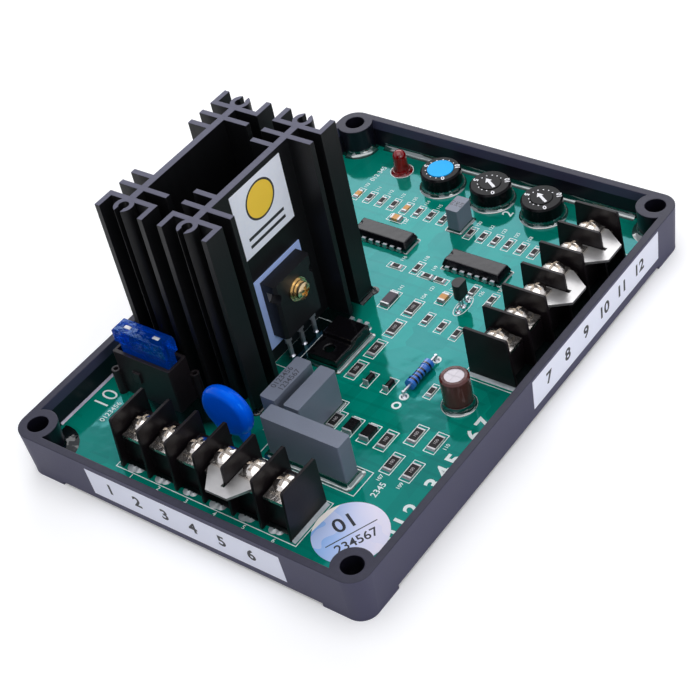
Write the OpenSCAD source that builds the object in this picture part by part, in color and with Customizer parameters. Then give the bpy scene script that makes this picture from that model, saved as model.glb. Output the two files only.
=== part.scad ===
// Automatic voltage regulator for a generator: a potted circuit board in a moulded tray,
// with two finned extrusions, two barrier terminal blocks, a blade fuse and dial trimmers.
// Millimetres. +Z is up, the origin is the middle of the footprint on the standing surface.

/* [Tray] */
// Outer size along X at the rim
tray_x = 116; // [111:1:130]
// Outer size along Y at the rim
tray_y = 157; // [151:1:175]
// Height from the standing surface to the rim
tray_h = 15; // [13:0.5:20]
// Wall thickness
tray_wall = 2.2; // [1.6:0.1:2.8]
// Lean of each wall from rim to base
tray_draft = 0.7; // [0.2:0.1:1.2]
// Floor thickness
tray_floor = 1.6; // [1:0.1:2.4]
// Radius of the corners and of the bosses in them
boss_r = 5.5; // [5:0.1:6.5]
// Diameter of the mounting holes
mount_hole_d = 6; // [4:0.1:7]
// Height of the corner feet
foot_h = 1.2; // [0.6:0.1:2]
// Side of each corner foot
foot_side = 14; // [12:0.5:18]

/* [Board] */
// Board thickness
board_t = 1.6; // [1:0.1:2.4]
// Resin depth under the board
resin_bed = 1.6; // [1.5:0.1:2.5]
// Gap from the board's edge to the wall
board_gap = 0.4; // [0.2:0.1:0.8]
// Gap from the board's notches to the bosses
notch_gap = 0.8; // [0.3:0.1:1.5]

/* [Heatsinks] */
// Height of the extrusions
sink_h = 59; // [40:1:70]
// Width of one extrusion along X
sink_w = 16.4; // [15:0.1:18]
// Length of one extrusion along Y, over its lips
sink_l = 54; // [50:0.5:60]
// Clear gap between the two extrusions
sink_gap = 5.2; // [4:0.1:8]
// Thickness of the web that carries the device
web_t = 2.1; // [1.6:0.1:3]
// Offset of the web from the middle of the width
web_shift = -0.5; // [-1:0.1:0]
// Thickness of fins, flanges and lips
sink_fin_t = 1.6; // [1:0.1:2]
// Spacing of the fins along Y
sink_fin_pitch = 4.8; // [4:0.1:5.5]
// Length of the lips past the end flanges
lip_l = 5.6; // [4:0.1:6]
// Outer radius of the screw ports
port_r = 2.8; // [2.4:0.1:3]
// Diameter of the screw that goes into a port
port_screw_d = 2.8; // [2.4:0.1:3]
// Distance from the left wall to the extrusions
sink_setback = 10; // [8:0.5:14]

/* [Power devices] */
// Width of a power device
device_w = 15.8; // [14:0.1:16]
// Height of a power device
device_h = 18.6; // [17:0.1:22]
// Thickness of a power device
device_t = 5; // [4:0.1:5.5]
// Height of the device's foot over the board
device_lift = 8.6; // [6:0.1:10]
// Offset of the devices from the middle of the extrusions
device_shift = 0.8; // [-2:0.1:2]
// Distance between the device's leads
lead_pitch = 5.45; // [5:0.05:5.6]
// Width of the insulating pads
pad_w = 20; // [18:0.5:22]
// Height of the insulating pads
pad_h = 24; // [22:0.5:28]
// Thickness of the insulating pads
pad_t = 0.3; // [0.2:0.1:0.6]
// Diameter of the device screws
device_screw_d = 3; // [2.5:0.1:3.5]

/* [Terminal blocks] */
// Distance from one way to the next
way_pitch = 9.5; // [8.5:0.1:10]
// Thickness of the barrier fins
barrier_t = 0.8; // [0.8:0.1:1.6]
// Height of the barrier fins over the board
barrier_h = 16.4; // [14:0.1:20]
// Lean of the barrier fins' front edges
barrier_rake = 1.2; // [0:0.1:2]
// Depth of a block from its back to the wire side
block_depth = 14.6; // [13:0.1:16]
// Height of the seats under the plates
seat_h = 9.2; // [7:0.1:11]
// Height of the ledge behind the seats
step_h = 6; // [3:0.1:6.5]
// Depth of the open pockets on the wire side
pocket_depth = 3; // [2:0.1:3.4]
// Thickness of the contact plates
plate_t = 1; // [0.6:0.1:1.4]
// Diameter of the terminal screw heads
screw_head_d = 6.2; // [5:0.1:6.8]
// Diameter of the terminal screws
screw_d = 3.4; // [3:0.1:4]
// Thickness of the jumper links
jumper_t = 0.8; // [0.5:0.1:1.2]
// Width of a jumper's front edge
jumper_nose = 6.9; // [4:0.1:8]
// Reach of a jumper past the barrier fins
jumper_reach = 2.9; // [2:0.1:4]
// Distance from the front wall to the front block
front_row_setback = 7.5; // [5.5:0.1:9]
// Distance from the right wall to the side block
side_row_setback = 5.1; // [4.5:0.1:7]
// Middle of the front block along X
front_row_shift = 0.2; // [-4:0.1:4]
// Middle of the side block along Y
side_row_shift = 29.8; // [27:0.1:32]

/* [Fuse] */
// Length of the fuse holder
holder_l = 20.6; // [20:0.1:23]
// Depth of the fuse holder
holder_d = 7.4; // [6.8:0.1:9]
// Height of the fuse holder
holder_h = 15; // [13.5:0.1:18]
// Length of the fuse body
fuse_l = 18.6; // [17.5:0.1:19]
// Thickness of the fuse body
fuse_t = 4.8; // [4:0.1:5.2]
// Height of the fuse over the holder's rim
fuse_proud = 7.6; // [6:0.1:9]
// Thickness of the fuse blades
blade_t = 0.65; // [0.5:0.05:0.8]
// Distance from the front block to the fuse holder
holder_setback = 8.1; // [6:0.1:10]

/* [Varistor and capacitors] */
// Diameter of the varistor disc
varistor_d = 16; // [12:0.1:18]
// Thickness of the varistor disc
varistor_t = 4.4; // [3.5:0.1:5]
// Height of the disc's lower edge over the board
varistor_lift = 3.4; // [2.5:0.1:6]
// Length of the large film capacitor
large_cap_l = 25.3; // [24:0.1:27]
// Thickness of the large film capacitor
large_cap_t = 5.1; // [4:0.1:6]
// Height of the large film capacitor
large_cap_h = 14.1; // [12:0.1:17]
// Length of the two medium film capacitors
medium_cap_l = 16.4; // [14:0.1:17]
// Thickness of the two medium film capacitors
medium_cap_t = 5; // [4:0.1:5.5]
// Height of the two medium film capacitors
medium_cap_h = 12.2; // [10:0.1:14]
// Clear gap between the two medium film capacitors
medium_cap_gap = 2.9; // [2:0.1:4]
// Diameter of the electrolytic capacitor
can_d = 8; // [6.3:0.1:8.5]
// Height of the electrolytic capacitor
can_h = 10.4; // [9:0.1:13]

/* [Trimmers and lamp] */
// Diameter of the trimmer bodies
trimmer_d = 12.4; // [11:0.1:13.5]
// Height of the trimmer bodies
trimmer_h = 6; // [5:0.1:8]
// Distance from one trimmer to the next
trimmer_pitch = 17.7; // [15:0.1:19]
// Distance from the back wall to the trimmer centres
trimmer_setback = 9.6; // [8:0.1:11]
// Diameter of the two dials with a pointer
rotor_d = 6.4; // [6:0.1:8]
// Diameter of the plain dial cap
plain_dial_d = 8; // [7:0.1:9.5]
// Diameter of the dials' pivot pins
rotor_pin_d = 2; // [1.6:0.1:2.6]
// Direction that the dial pointers face
pointer_angle = 150; // [90:1:200]
// Diameter of the indicator lamp
lamp_d = 4.2; // [3:0.1:5]
// Height of the indicator lamp
lamp_h = 7.7; // [6:0.1:9]

/* [Small parts] */
// Length of the logic chips
chip_l = 19.3; // [16:0.1:20]
// Width of the logic chips
chip_w = 6.4; // [5.5:0.1:6.6]
// Pitch of the logic chips' pins
pin_pitch = 2.54; // [2:0.01:2.6]
// Length of the flat transistor
flat_l = 15.5; // [14:0.1:16]
// Width of the flat transistor
flat_w = 10; // [9:0.1:10.4]
// Thickness of the flat transistor
flat_t = 4.5; // [3:0.1:5]
// Diameter of the axial resistor
axial_d = 3.2; // [2:0.1:4]
// Length of the axial resistor
axial_l = 9.4; // [7:0.1:10]
// Length of the large chip resistors
large_chip_l = 5; // [4:0.1:5.4]
// Width of the large chip resistors
large_chip_w = 2.6; // [2:0.1:3.2]
// Length of the small chips
small_chip_l = 3.2; // [2:0.1:3.4]
// Width of the small chips
small_chip_w = 1.6; // [1:0.05:1.8]

/* [Hidden] */
$fn = 48;

// Overshoot of cuts, and the small clearances of the fits
cut = 1;
fit = 0.05;
free = 0.2;

// Levels
base_z = foot_h;
floor_z = base_z + tray_floor;
board_z = floor_z + resin_bed;
top_z = board_z + board_t;

// Tray
half_x = tray_x / 2;
half_y = tray_y / 2;
corner_x = half_x - boss_r;
corner_y = half_y - boss_r;
shell_h = tray_h - base_z;
inner_corner_r = 1.6;
inner_x = half_x - tray_wall;
inner_y = half_y - tray_wall;
cavity_lean = tray_draft * (tray_h - floor_z) / shell_h;
board_lean = tray_draft * (tray_h - board_z) / shell_h;
board_x = inner_x - board_lean - board_gap;
board_y = inner_y - board_lean - board_gap;

// Terminal rows
ways = 6;
row_l = ways * way_pitch;
front_row_y = -inner_y + front_row_setback + block_depth;
side_row_x = inner_x - side_row_setback - block_depth;
screw_setback = 6.9;
seat_start = 1.2;
seat_depth = block_depth - seat_start - pocket_depth;
plate_gap = 1.5;
plate_w = way_pitch - barrier_t - plate_gap;
plate_l = 9;
plate_start = 3.1;
washer_t = 0.6;
washer_side = 6.4;
screw_head_h = 2.4;
screw_dome_r = 4.6;
screw_slot_w = 0.9;
screw_slot_l = 4.2;
screw_slot_depth = 1.1;
shank_l = 5;
jumper_gap = 1.3;
jumper_half_w = way_pitch - barrier_t / 2 - jumper_gap;
jumper_start = 4.1;
jumper_shoulder = 6.4;
front_jumper_fins = [4];
side_jumper_fins = [3, 5];

// Fuse
holder_inset = 8.6;
holder_x = holder_inset - inner_x;
holder_y = front_row_y + holder_setback;
holder_wall = 0.9;
fuse_x = holder_x + holder_l / 2;
fuse_y = holder_y + holder_d / 2;
fuse_seat = 4;
fuse_head_h = 4.6;
fuse_skirt_in = 1.1;
fuse_skirt_thin = 0.5;
fuse_edge = 0.7;
blade_w = 5.1;
blade_l = 7.2;
blade_end_gap = 0.5;
blade_cover = 0.8;
link_h = 1.1;
link_rise = 3;
window_w = 2.4;
window_t = 1.3;
clip_leaf_t = 0.5;
clip_w = 5.6;
clip_foot_h = 0.8;
post_d = 2.6;
post_bore_d = 1.4;
post_drop = 6.4;
post_out = 0.5;
post_x = holder_l / 2 + post_out;
post_y = holder_d / 2 + post_out;
latch_x = -3.1;
latch_w = 2.6;
latch_h = 3.4;
latch_t = 0.6;
latch_drop = 8.6;
holder_top_z = top_z + holder_h;
fuse_bottom_z = holder_top_z - fuse_seat;
latch_z = holder_top_z - latch_drop;
fuse_top_z = holder_top_z + fuse_proud;
blade_x = fuse_l / 2 - blade_end_gap - fuse_skirt_in - blade_w / 2;
blade_tip_z = fuse_bottom_z - blade_l;
clip_t = blade_t + 2 * clip_leaf_t + 2 * fit;

// Heatsinks
sink_left_x = -inner_x + sink_setback + sink_w / 2;
sink_right_x = sink_left_x + sink_w + sink_gap;
sink_edge_x = sink_right_x + sink_w / 2;
sink_clear = 2.1;
sink_y = holder_y + holder_d + sink_clear + sink_l / 2;
flange_y = sink_l / 2 - lip_l;
port_out = 1.9;
port_y = flange_y + sink_fin_t / 2 + port_out;
port_mouth = 2;
port_bore_r = port_screw_d / 2 + fit;
sink_screw_l = 9;
sink_screw_head_d = 5;
sink_screw_head_h = 1.3;

// Power devices
device_face_x = web_shift + web_t / 2 + pad_t;
device_hole_drop = 6.2;
device_hole_d = device_screw_d + 3 * free;
device_notch_r = 1.7;
device_notch_rise = 1.9;
device_chamfer = 0.8;
device_foot_z = top_z + device_lift;
device_hole_z = device_foot_z + device_h - device_hole_drop;
pad_drop = 1.2;
pad_z = device_foot_z + device_h / 2 - pad_drop;
lead_plane = 2.4;
lead_t = 0.6;
lead_w = 1.2;
lead_shoulder_w = 2.2;
lead_shoulder_l = 3.6;
device_screw_head_d = 5;
device_screw_head_h = 1.9;
device_slot_l = 3.2;
device_washer_d = 7;
device_washer_t = 0.6;
device_spring_d = 6;
device_spring_t = 0.8;

// Varistor and capacitors
lead_r = 0.4;
varistor_off = [1.8, 6.9];
varistor_x = sink_edge_x + varistor_off[0];
varistor_y = front_row_y + varistor_off[1];
varistor_z = top_z + varistor_lift + varistor_d / 2;
varistor_lead_pitch = 7.5;
varistor_run_r = varistor_t * 0.48;
varistor_run_foot_r = varistor_t * 0.26;
large_cap_off = [13.1, 6.8];
large_cap_x = sink_edge_x + large_cap_off[0];
large_cap_y = front_row_y + large_cap_off[1];
inner_cap_off = 6.7;
inner_cap_x = sink_edge_x + inner_cap_off;
outer_cap_x = inner_cap_x + medium_cap_t + medium_cap_gap;
medium_cap_clear = 2.4;
medium_cap_y = large_cap_y + large_cap_t + medium_cap_clear;
box_edge_r = 0.5;
small_cap = [4.3, 6.9, 7.7];
small_cap_off = [-3.1, -27];
small_cap_place = [0, inner_y] + small_cap_off;
sleeve_t = 0.2;
sleeve_lip = 1.1;
can_shoulder = 0.5;
groove_z = 1.9;
groove_r = 0.45;
side_row_near = side_row_shift - row_l / 2 - barrier_t / 2;
can_off = [3.7, -10.9];
can_place = [side_row_x, side_row_near] + can_off;

// Trimmers and lamp
trimmer_y = inner_y - trimmer_setback;
trimmer_middle_x = 1.2;
trimmer_top_z = top_z + trimmer_h;
rotor_recess = 1.2;
rotor_proud = 0.2;
rotor_pin_l = 3;
trimmer_bevel = 0.5;
pointer_tip = 2.5;
pointer_neck = 0.7;
pointer_tail = 2.7;
pointer_w = 0.9;
pointer_depth = 0.5;
pointer_head = 2.3;
lamp_off = [23.5, -8.8];
lamp_place = [-inner_x, inner_y] + lamp_off;
lamp_flange = 0.7;
lamp_flange_h = 1;

// Small parts
chip_h = 2.9;
chip_lift = 0.3;
chip_taper = 0.35;
chip_end_taper = 0.7;
pin_rise = 1.1;
chip_notch_r = 1;
pins_a_side = 7;
pin_w = 1.3;
pin_foot_w = 0.5;
pin_t = 0.25;
pin_reach = 0.7;
left_chip_off = [-10.2, -38];
left_chip_place = [sink_edge_x, inner_y] + left_chip_off;
right_chip_off = [-21.3, -39.1];
right_chip_place = [side_row_x, inner_y] + right_chip_off;
small_transistor_off = [-16.5, -53.6];
small_transistor_place = [side_row_x, inner_y] + small_transistor_off;
small_transistor_d = 4.2;
small_transistor_h = 5;
small_transistor_lift = 3.8;
small_lead_pitch = 1.27;
small_lead_t = 0.45;
small_lead_spread = 2.7;
small_lead_bend = 1.6;
flat_off = [0.7, -14];
flat_place = [sink_edge_x, 0] + flat_off;
flat_step_h = flat_t * 0.75;
flat_lead_pitch = 2.54;
flat_lead_l = 2.6;
flat_hole_d = 3.2;
axial_off = [-11.1, -6.4];
axial_place = [side_row_x, 0] + axial_off;
axial_cap_l = 2;
axial_waist = 0.2;
axial_span = 15.4;
chip_t = 0.5;
column_off = 15;
column_x = sink_edge_x + column_off;
column_y = 16;
column_step = 9.1;
chip_row_off = [21.3, 10.3];
chip_row_x = sink_edge_x + chip_row_off[0];
chip_row_y = medium_cap_y + chip_row_off[1];
chip_row_gap = 2.9;
chip_row_step = large_chip_w + chip_row_gap;
chip_grid_x = side_row_x;
chip_grid_off = 14.6;
chip_grid_y = can_place[1] - chip_grid_off;
chip_grid_step = [6.2, 11];
large_chip_places = concat(
    [for (i = [0:3]) [column_x, column_y - i * column_step]],
    [for (i = [0, 3]) [chip_row_x + i * chip_row_step, chip_row_y]],
    [for (i = [0, 1], j = [0, 1]) [chip_grid_x + i * chip_grid_step[0], chip_grid_y - j * chip_grid_step[1]]]
);
power_diode_places = [for (i = [1, 2]) [chip_row_x + i * chip_row_step, chip_row_y]];
far_row_off = [17.5, -23.7];
far_row_x = far_row_off[0] - inner_x;
far_row_y = inner_y + far_row_off[1];
far_row_step = 4.49;
far_row_tan = [0, 4];
far_row_dark = [1, 2, 3, 5, 6, 7];
near_row_off = [-32.1, -25.8];
near_row_x = side_row_x + near_row_off[0];
near_row_y = inner_y + near_row_off[1];
near_row_step = 4.35;
right_row_off = 21.3;
right_row_x = sink_edge_x + right_row_off;
right_row_y = 13.9;
right_row_step = [5.4, -0.8];
middle_row_off = 47.2;
middle_row_y = inner_y - middle_row_off;
beside_transistor = [-0.8, 0];
beside_side_row = [-10.5, -1.2];
beside_sink = [6.3, 1.9];
beside_can = [-5.4, 0.6];
small_places = concat(
    [for (i = far_row_dark) [far_row_x + i * far_row_step, far_row_y]],
    [for (i = [0:5]) [near_row_x + i * near_row_step, near_row_y]],
    [for (i = [0:2]) [right_row_x + i * right_row_step[0], right_row_y + i * right_row_step[1]]],
    [[small_transistor_place[0], middle_row_y] + beside_transistor],
    [[side_row_x, middle_row_y] + beside_side_row, [sink_edge_x, middle_row_y] + beside_sink],
    [[side_row_x, can_place[1]] + beside_can]
);
across_off = [0.1, 10.9, 15.2];
across_places = [for (x = across_off) [sink_edge_x + x, middle_row_y]];
tan_across_drop = 5.3;
tan_across_place = [far_row_x + 4 * far_row_step, far_row_y - tan_across_drop];
tan_along_off = [-6.8, 0.4];
tan_along_place = small_transistor_place + tan_along_off;
tan_row_places = [for (i = far_row_tan) [far_row_x + i * far_row_step, far_row_y]];
tan_size = [3.2, 2.2, 0.9];
tantalum_off = [6.8, 16.3];
tantalum_place = [sink_edge_x, 0] + tantalum_off;
tantalum_size = [2.8, 5.4, 1];
diode_offs = [[20.7, -13], [27, -12.6]];
diode_places = [for (o = diode_offs) [sink_edge_x, 0] + o];
diode_d = 1.6;
diode_l = 3.6;
power_diode_size = [2.8, 4.8, 1.3];

// Which ways of a row lie under a jumper, so that their screws sit higher
function way_lift(i, fins) = len([for (f = fins) if (f == i || f == i + 1) f]) > 0 ? jumper_t : 0;
function way_at(i) = -row_l / 2 + (i + 0.5) * way_pitch;
function barrier_at(i) = -row_l / 2 + i * way_pitch;

module centred_square(x, y) {
    square([x, y], center = true);
}

// Rounded rectangle from two bars and four discs
module rounded_plan(hx, hy, r) {
    centred_square(2 * (hx - r), 2 * hy);
    centred_square(2 * hx, 2 * (hy - r));
    for (sx = [-1, 1], sy = [-1, 1])
        translate([sx * (hx - r), sy * (hy - r)])
            circle(r = r);
}

// Block whose walls lean in towards the base, with cone corners
module leaning_block(hx, hy, r, lean, h) {
    rotate([90, 0, 0])
        linear_extrude(2 * (hy - r), center = true)
            polygon([[lean - hx, 0], [hx - lean, 0], [hx, h], [-hx, h]]);
    rotate([90, 0, 90])
        linear_extrude(2 * (hx - r), center = true)
            polygon([[lean - hy, 0], [hy - lean, 0], [hy, h], [-hy, h]]);
    for (sx = [-1, 1], sy = [-1, 1])
        translate([sx * (hx - r), sy * (hy - r), 0])
            cylinder(h = h, r1 = r - lean, r2 = r);
}

module at_corners() {
    for (sx = [-1, 1], sy = [-1, 1])
        translate([sx * corner_x, sy * corner_y, 0])
            children();
}

// Inside of the tray, with the four bosses left standing
module tray_cavity() {
    difference() {
        translate([0, 0, floor_z])
            leaning_block(inner_x, inner_y, inner_corner_r, cavity_lean, tray_h - floor_z);
        at_corners()
            translate([0, 0, base_z])
                cylinder(h = shell_h, r1 = boss_r - tray_draft, r2 = boss_r);
    }
}

module tray_feet() {
    linear_extrude(foot_h)
        intersection() {
            rounded_plan(half_x - tray_draft, half_y - tray_draft, boss_r - tray_draft);
            for (sx = [-1, 1], sy = [-1, 1])
                translate([sx * (half_x - foot_side / 2), sy * (half_y - foot_side / 2)])
                    centred_square(foot_side, foot_side);
        }
}

module tray() {
    color("#38363d")
        difference() {
            union() {
                translate([0, 0, base_z])
                    leaning_block(half_x, half_y, boss_r, tray_draft, shell_h);
                tray_feet();
            }
            tray_cavity();
            at_corners()
                translate([0, 0, -cut])
                    cylinder(h = tray_h + 2 * cut, d = mount_hole_d);
        }
}

module board_plan() {
    difference() {
        centred_square(2 * board_x, 2 * board_y);
        at_corners()
            circle(r = boss_r + notch_gap);
    }
}

module at_sink_screws() {
    for (x = [sink_left_x, sink_right_x], s = [-1, 1])
        translate([x + web_shift, sink_y + s * port_y, 0])
            children();
}

module potting_resin() {
    color("#30504a")
        difference() {
            intersection() {
                tray_cavity();
                translate([-half_x, -half_y, 0])
                    cube([tray_x, tray_y, top_z]);
            }
            translate([0, 0, board_z])
                linear_extrude(board_t + cut)
                    board_plan();
            at_sink_screws()
                translate([0, 0, board_z - sink_screw_head_h - fit])
                    cylinder(h = resin_bed, d = sink_screw_head_d + 2 * fit);
        }
}

module circuit_board() {
    color("#0f8a72")
        difference() {
            translate([0, 0, board_z])
                linear_extrude(board_t)
                    board_plan();
            at_sink_screws()
                translate([0, 0, board_z - cut])
                    cylinder(h = board_t + 2 * cut, d = port_screw_d + 2 * free);
        }
}

// Section of one extrusion: web along Y, end flanges with lips, side fins and screw ports
module sink_section() {
    difference() {
        union() {
            translate([web_shift, 0])
                centred_square(web_t, 2 * flange_y);
            for (s = [-1, 1]) {
                translate([0, s * flange_y])
                    centred_square(sink_w, sink_fin_t);
                translate([0, s * (flange_y - sink_fin_pitch)])
                    centred_square(sink_w, sink_fin_t);
                translate([(web_shift - sink_w / 2) / 2, s * (flange_y - 2 * sink_fin_pitch)])
                    centred_square(sink_w / 2 + web_shift, sink_fin_t);
                for (e = [-1, 1])
                    translate([e * (sink_w - sink_fin_t) / 2, s * (flange_y + lip_l / 2)])
                        centred_square(sink_fin_t, lip_l);
                translate([web_shift, s * port_y])
                    circle(r = port_r);
            }
        }
        for (s = [-1, 1])
            translate([web_shift, s * port_y]) {
                circle(r = port_bore_r);
                translate([0, s * port_r])
                    centred_square(port_mouth, 2 * port_r);
            }
    }
}

module heatsink(x) {
    color("#232227")
        difference() {
            translate([x, sink_y, top_z])
                linear_extrude(sink_h)
                    sink_section();
            translate([x + web_shift, sink_y + device_shift, device_hole_z])
                rotate([0, 90, 0])
                    cylinder(h = 2 * web_t, d = device_screw_d + 2 * fit, center = true);
        }
}

module left_heatsink() {
    heatsink(sink_left_x);
}

module right_heatsink() {
    heatsink(sink_right_x);
}

module heatsink_screws() {
    color("silver")
        at_sink_screws()
            translate([0, 0, board_z]) {
                cylinder(h = sink_screw_l, d = port_screw_d);
                translate([0, 0, -sink_screw_head_h])
                    cylinder(h = sink_screw_head_h, d = sink_screw_head_d);
            }
}

// Moves to the device face of one extrusion: X out of the face, Y across, Z up
module on_sink_face(x) {
    translate([x + device_face_x, sink_y + device_shift, 0])
        children();
}

module insulating_pad(x) {
    color("#a9c0ee")
        on_sink_face(x)
            translate([-pad_t, 0, pad_z])
                difference() {
                    translate([0, -pad_w / 2, -pad_h / 2])
                        cube([pad_t, pad_w, pad_h]);
                    translate([-cut, 0, device_hole_z - pad_z])
                        rotate([0, 90, 0])
                            cylinder(h = pad_t + 2 * cut, d = device_hole_d);
                }
}

module left_insulating_pad() {
    insulating_pad(sink_left_x);
}

module right_insulating_pad() {
    insulating_pad(sink_right_x);
}

// Moulded device with bevelled front edges, a screw hole and two clip notches
module power_device(x) {
    color("#2a2a2e")
        on_sink_face(x)
            difference() {
                translate([0, 0, device_foot_z])
                    linear_extrude(device_h)
                        polygon([
                            [0, -device_w / 2],
                            [device_t - device_chamfer, -device_w / 2],
                            [device_t, device_chamfer - device_w / 2],
                            [device_t, device_w / 2 - device_chamfer],
                            [device_t - device_chamfer, device_w / 2],
                            [0, device_w / 2]
                        ]);
                translate([-cut, 0, device_hole_z])
                    rotate([0, 90, 0])
                        cylinder(h = device_t + 2 * cut, d = device_hole_d);
                for (s = [-1, 1])
                    translate([device_t / 3, s * device_w / 2, device_hole_z + device_notch_rise])
                        rotate([0, 90, 0])
                            cylinder(h = device_t, r = device_notch_r);
            }
}

module left_power_device() {
    power_device(sink_left_x);
}

module right_power_device() {
    power_device(sink_right_x);
}

module device_leads(x) {
    color("#c9c9cc")
        on_sink_face(x)
            for (i = [-1:1])
                translate([lead_plane - lead_t / 2, i * lead_pitch, 0]) {
                    translate([0, -lead_w / 2, top_z])
                        cube([lead_t, lead_w, device_lift]);
                    translate([0, -lead_shoulder_w / 2, device_foot_z - lead_shoulder_l])
                        cube([lead_t, lead_shoulder_w, lead_shoulder_l]);
                }
}

module left_device_leads() {
    device_leads(sink_left_x);
}

module right_device_leads() {
    device_leads(sink_right_x);
}

// Cross recess cut into a screw head, its depth below the origin
module cross_recess(l, w, depth) {
    for (a = [0, 90])
        rotate([0, 0, a])
            translate([-l / 2, -w / 2, -depth])
                cube([l, w, depth + cut]);
}

// Domed head that stands on the origin
module domed_head(d, h, dome_r) {
    intersection() {
        cylinder(h = h, d = d);
        translate([0, 0, h - dome_r])
            sphere(r = dome_r);
    }
}

module device_screw(x) {
    spring_top = device_t + device_washer_t + device_spring_t;
    color("#b59a5c")
        on_sink_face(x)
            translate([0, 0, device_hole_z])
                rotate([0, 90, 0]) {
                    translate([0, 0, -pad_t - web_t])
                        cylinder(h = pad_t + web_t + spring_top, d = device_screw_d);
                    translate([0, 0, device_t])
                        cylinder(h = device_washer_t, d = device_washer_d);
                    translate([0, 0, device_t + device_washer_t])
                        cylinder(h = device_spring_t, d = device_spring_d);
                    translate([0, 0, spring_top])
                        difference() {
                            domed_head(device_screw_head_d, device_screw_head_h, screw_dome_r);
                            translate([0, 0, device_screw_head_h])
                                cross_recess(device_slot_l, screw_slot_w, screw_slot_depth);
                        }
                }
}

module left_device_screw() {
    device_screw(sink_left_x);
}

module right_device_screw() {
    device_screw(sink_right_x);
}

module fuse_holder() {
    color("#222126")
        translate([fuse_x, fuse_y, 0])
            difference() {
                union() {
                    translate([0, 0, top_z])
                        linear_extrude(holder_h)
                            rounded_plan(holder_l / 2, holder_d / 2, holder_wall / 2);
                    translate([latch_x - latch_w / 2, -holder_d / 2 - latch_t, latch_z])
                        cube([latch_w, latch_t + holder_wall, latch_h]);
                    for (s = [-1, 1])
                        translate([s * post_x, s * post_y, top_z])
                            cylinder(h = holder_h - post_drop, d = post_d);
                }
                for (s = [-1, 1])
                    translate([s * post_x, s * post_y, holder_top_z - post_drop - post_d])
                        cylinder(h = post_d + fit, d = post_bore_d);
                translate([-fuse_l / 2 - free, -fuse_t / 2 - free, fuse_bottom_z])
                    cube([fuse_l + 2 * free, fuse_t + 2 * free, fuse_seat + cut]);
                for (s = [-1, 1])
                    translate([s * blade_x - clip_w / 2 - fit, -clip_t / 2 - fit, top_z])
                        cube([clip_w + 2 * fit, clip_t + 2 * fit, holder_h]);
            }
}

module fuse_clips() {
    leaf_h = fuse_bottom_z - top_z - free;
    color("#cfc7ad")
        for (s = [-1, 1])
            translate([fuse_x + s * blade_x - clip_w / 2, fuse_y, top_z]) {
                translate([0, -clip_t / 2, 0])
                    cube([clip_w, clip_t, clip_foot_h]);
                for (e = [0, 1])
                    translate([0, e ? clip_t / 2 - clip_leaf_t : -clip_t / 2, 0])
                        cube([clip_w, clip_leaf_t, leaf_h]);
            }
}

// Blades, riser strips and the thin link between them, as one stamped strip
module fuse_strip_plan() {
    riser_top = fuse_top_z - blade_cover;
    for (s = [-1, 1]) {
        translate([s * blade_x - blade_w / 2, blade_tip_z])
            square([blade_w, fuse_bottom_z + link_rise + link_h - blade_tip_z]);
        translate([s * blade_x - window_w / 2, fuse_bottom_z])
            square([window_w, riser_top - fuse_bottom_z]);
    }
    translate([-blade_x, fuse_bottom_z + link_rise])
        square([2 * blade_x, link_h]);
}

module in_fuse_plane(t) {
    translate([fuse_x, fuse_y + t / 2, 0])
        rotate([90, 0, 0])
            linear_extrude(t)
                children();
}

module blade_fuse_element() {
    color("#b9bcc4")
        in_fuse_plane(blade_t)
            fuse_strip_plan();
}

// Front outline of the plastic: a wide bevelled head on a narrower skirt
module fuse_outline() {
    half = fuse_l / 2;
    skirt = half - fuse_skirt_in;
    head_z = fuse_top_z - fuse_head_h;
    polygon([
        [-skirt, fuse_bottom_z],
        [skirt, fuse_bottom_z],
        [skirt, head_z - fuse_skirt_in],
        [half, head_z],
        [half, fuse_top_z - fuse_edge],
        [half - fuse_edge, fuse_top_z],
        [fuse_edge - half, fuse_top_z],
        [-half, fuse_top_z - fuse_edge],
        [-half, head_z],
        [-skirt, head_z - fuse_skirt_in]
    ]);
}

module blade_fuse_body() {
    skirt_t = fuse_t - 2 * fuse_skirt_thin;
    head_z = fuse_top_z - fuse_head_h;
    color("#1450d8", 0.8)
        difference() {
            intersection() {
                in_fuse_plane(fuse_t)
                    fuse_outline();
                union() {
                    translate([fuse_x - fuse_l / 2, fuse_y - skirt_t / 2, fuse_bottom_z])
                        cube([fuse_l, skirt_t, fuse_top_z - fuse_bottom_z]);
                    translate([fuse_x - fuse_l / 2, fuse_y - fuse_t / 2, head_z])
                        cube([fuse_l, fuse_t, fuse_head_h]);
                }
            }
            in_fuse_plane(blade_t + 2 * fit)
                union() {
                    fuse_strip_plan();
                    translate([-blade_x, fuse_bottom_z - cut])
                        square([2 * blade_x, link_rise + link_h + cut]);
                }
            for (s = [-1, 1])
                translate([fuse_x + s * blade_x, fuse_y, fuse_top_z])
                    cube([window_w + 2 * fit, window_t, 2 * blade_cover + 2 * fit], center = true);
        }
}

// Moves a row's own frame (row along X, wire side towards -Y, Z from the board) to the front block
module at_front_row() {
    translate([front_row_shift, front_row_y, top_z])
        children();
}

// The same frame turned to the side block
module at_side_row() {
    translate([side_row_x, side_row_shift, top_z])
        rotate([0, 0, 90])
            children();
}

// Outline of one barrier fin, from the back towards the wire side
module barrier_outline() {
    bevel = barrier_t / 2;
    polygon([
        [0, 0],
        [block_depth, 0],
        [block_depth - barrier_rake, barrier_h - bevel],
        [block_depth - barrier_rake - bevel, barrier_h],
        [bevel, barrier_h],
        [0, barrier_h - bevel]
    ]);
}

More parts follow.
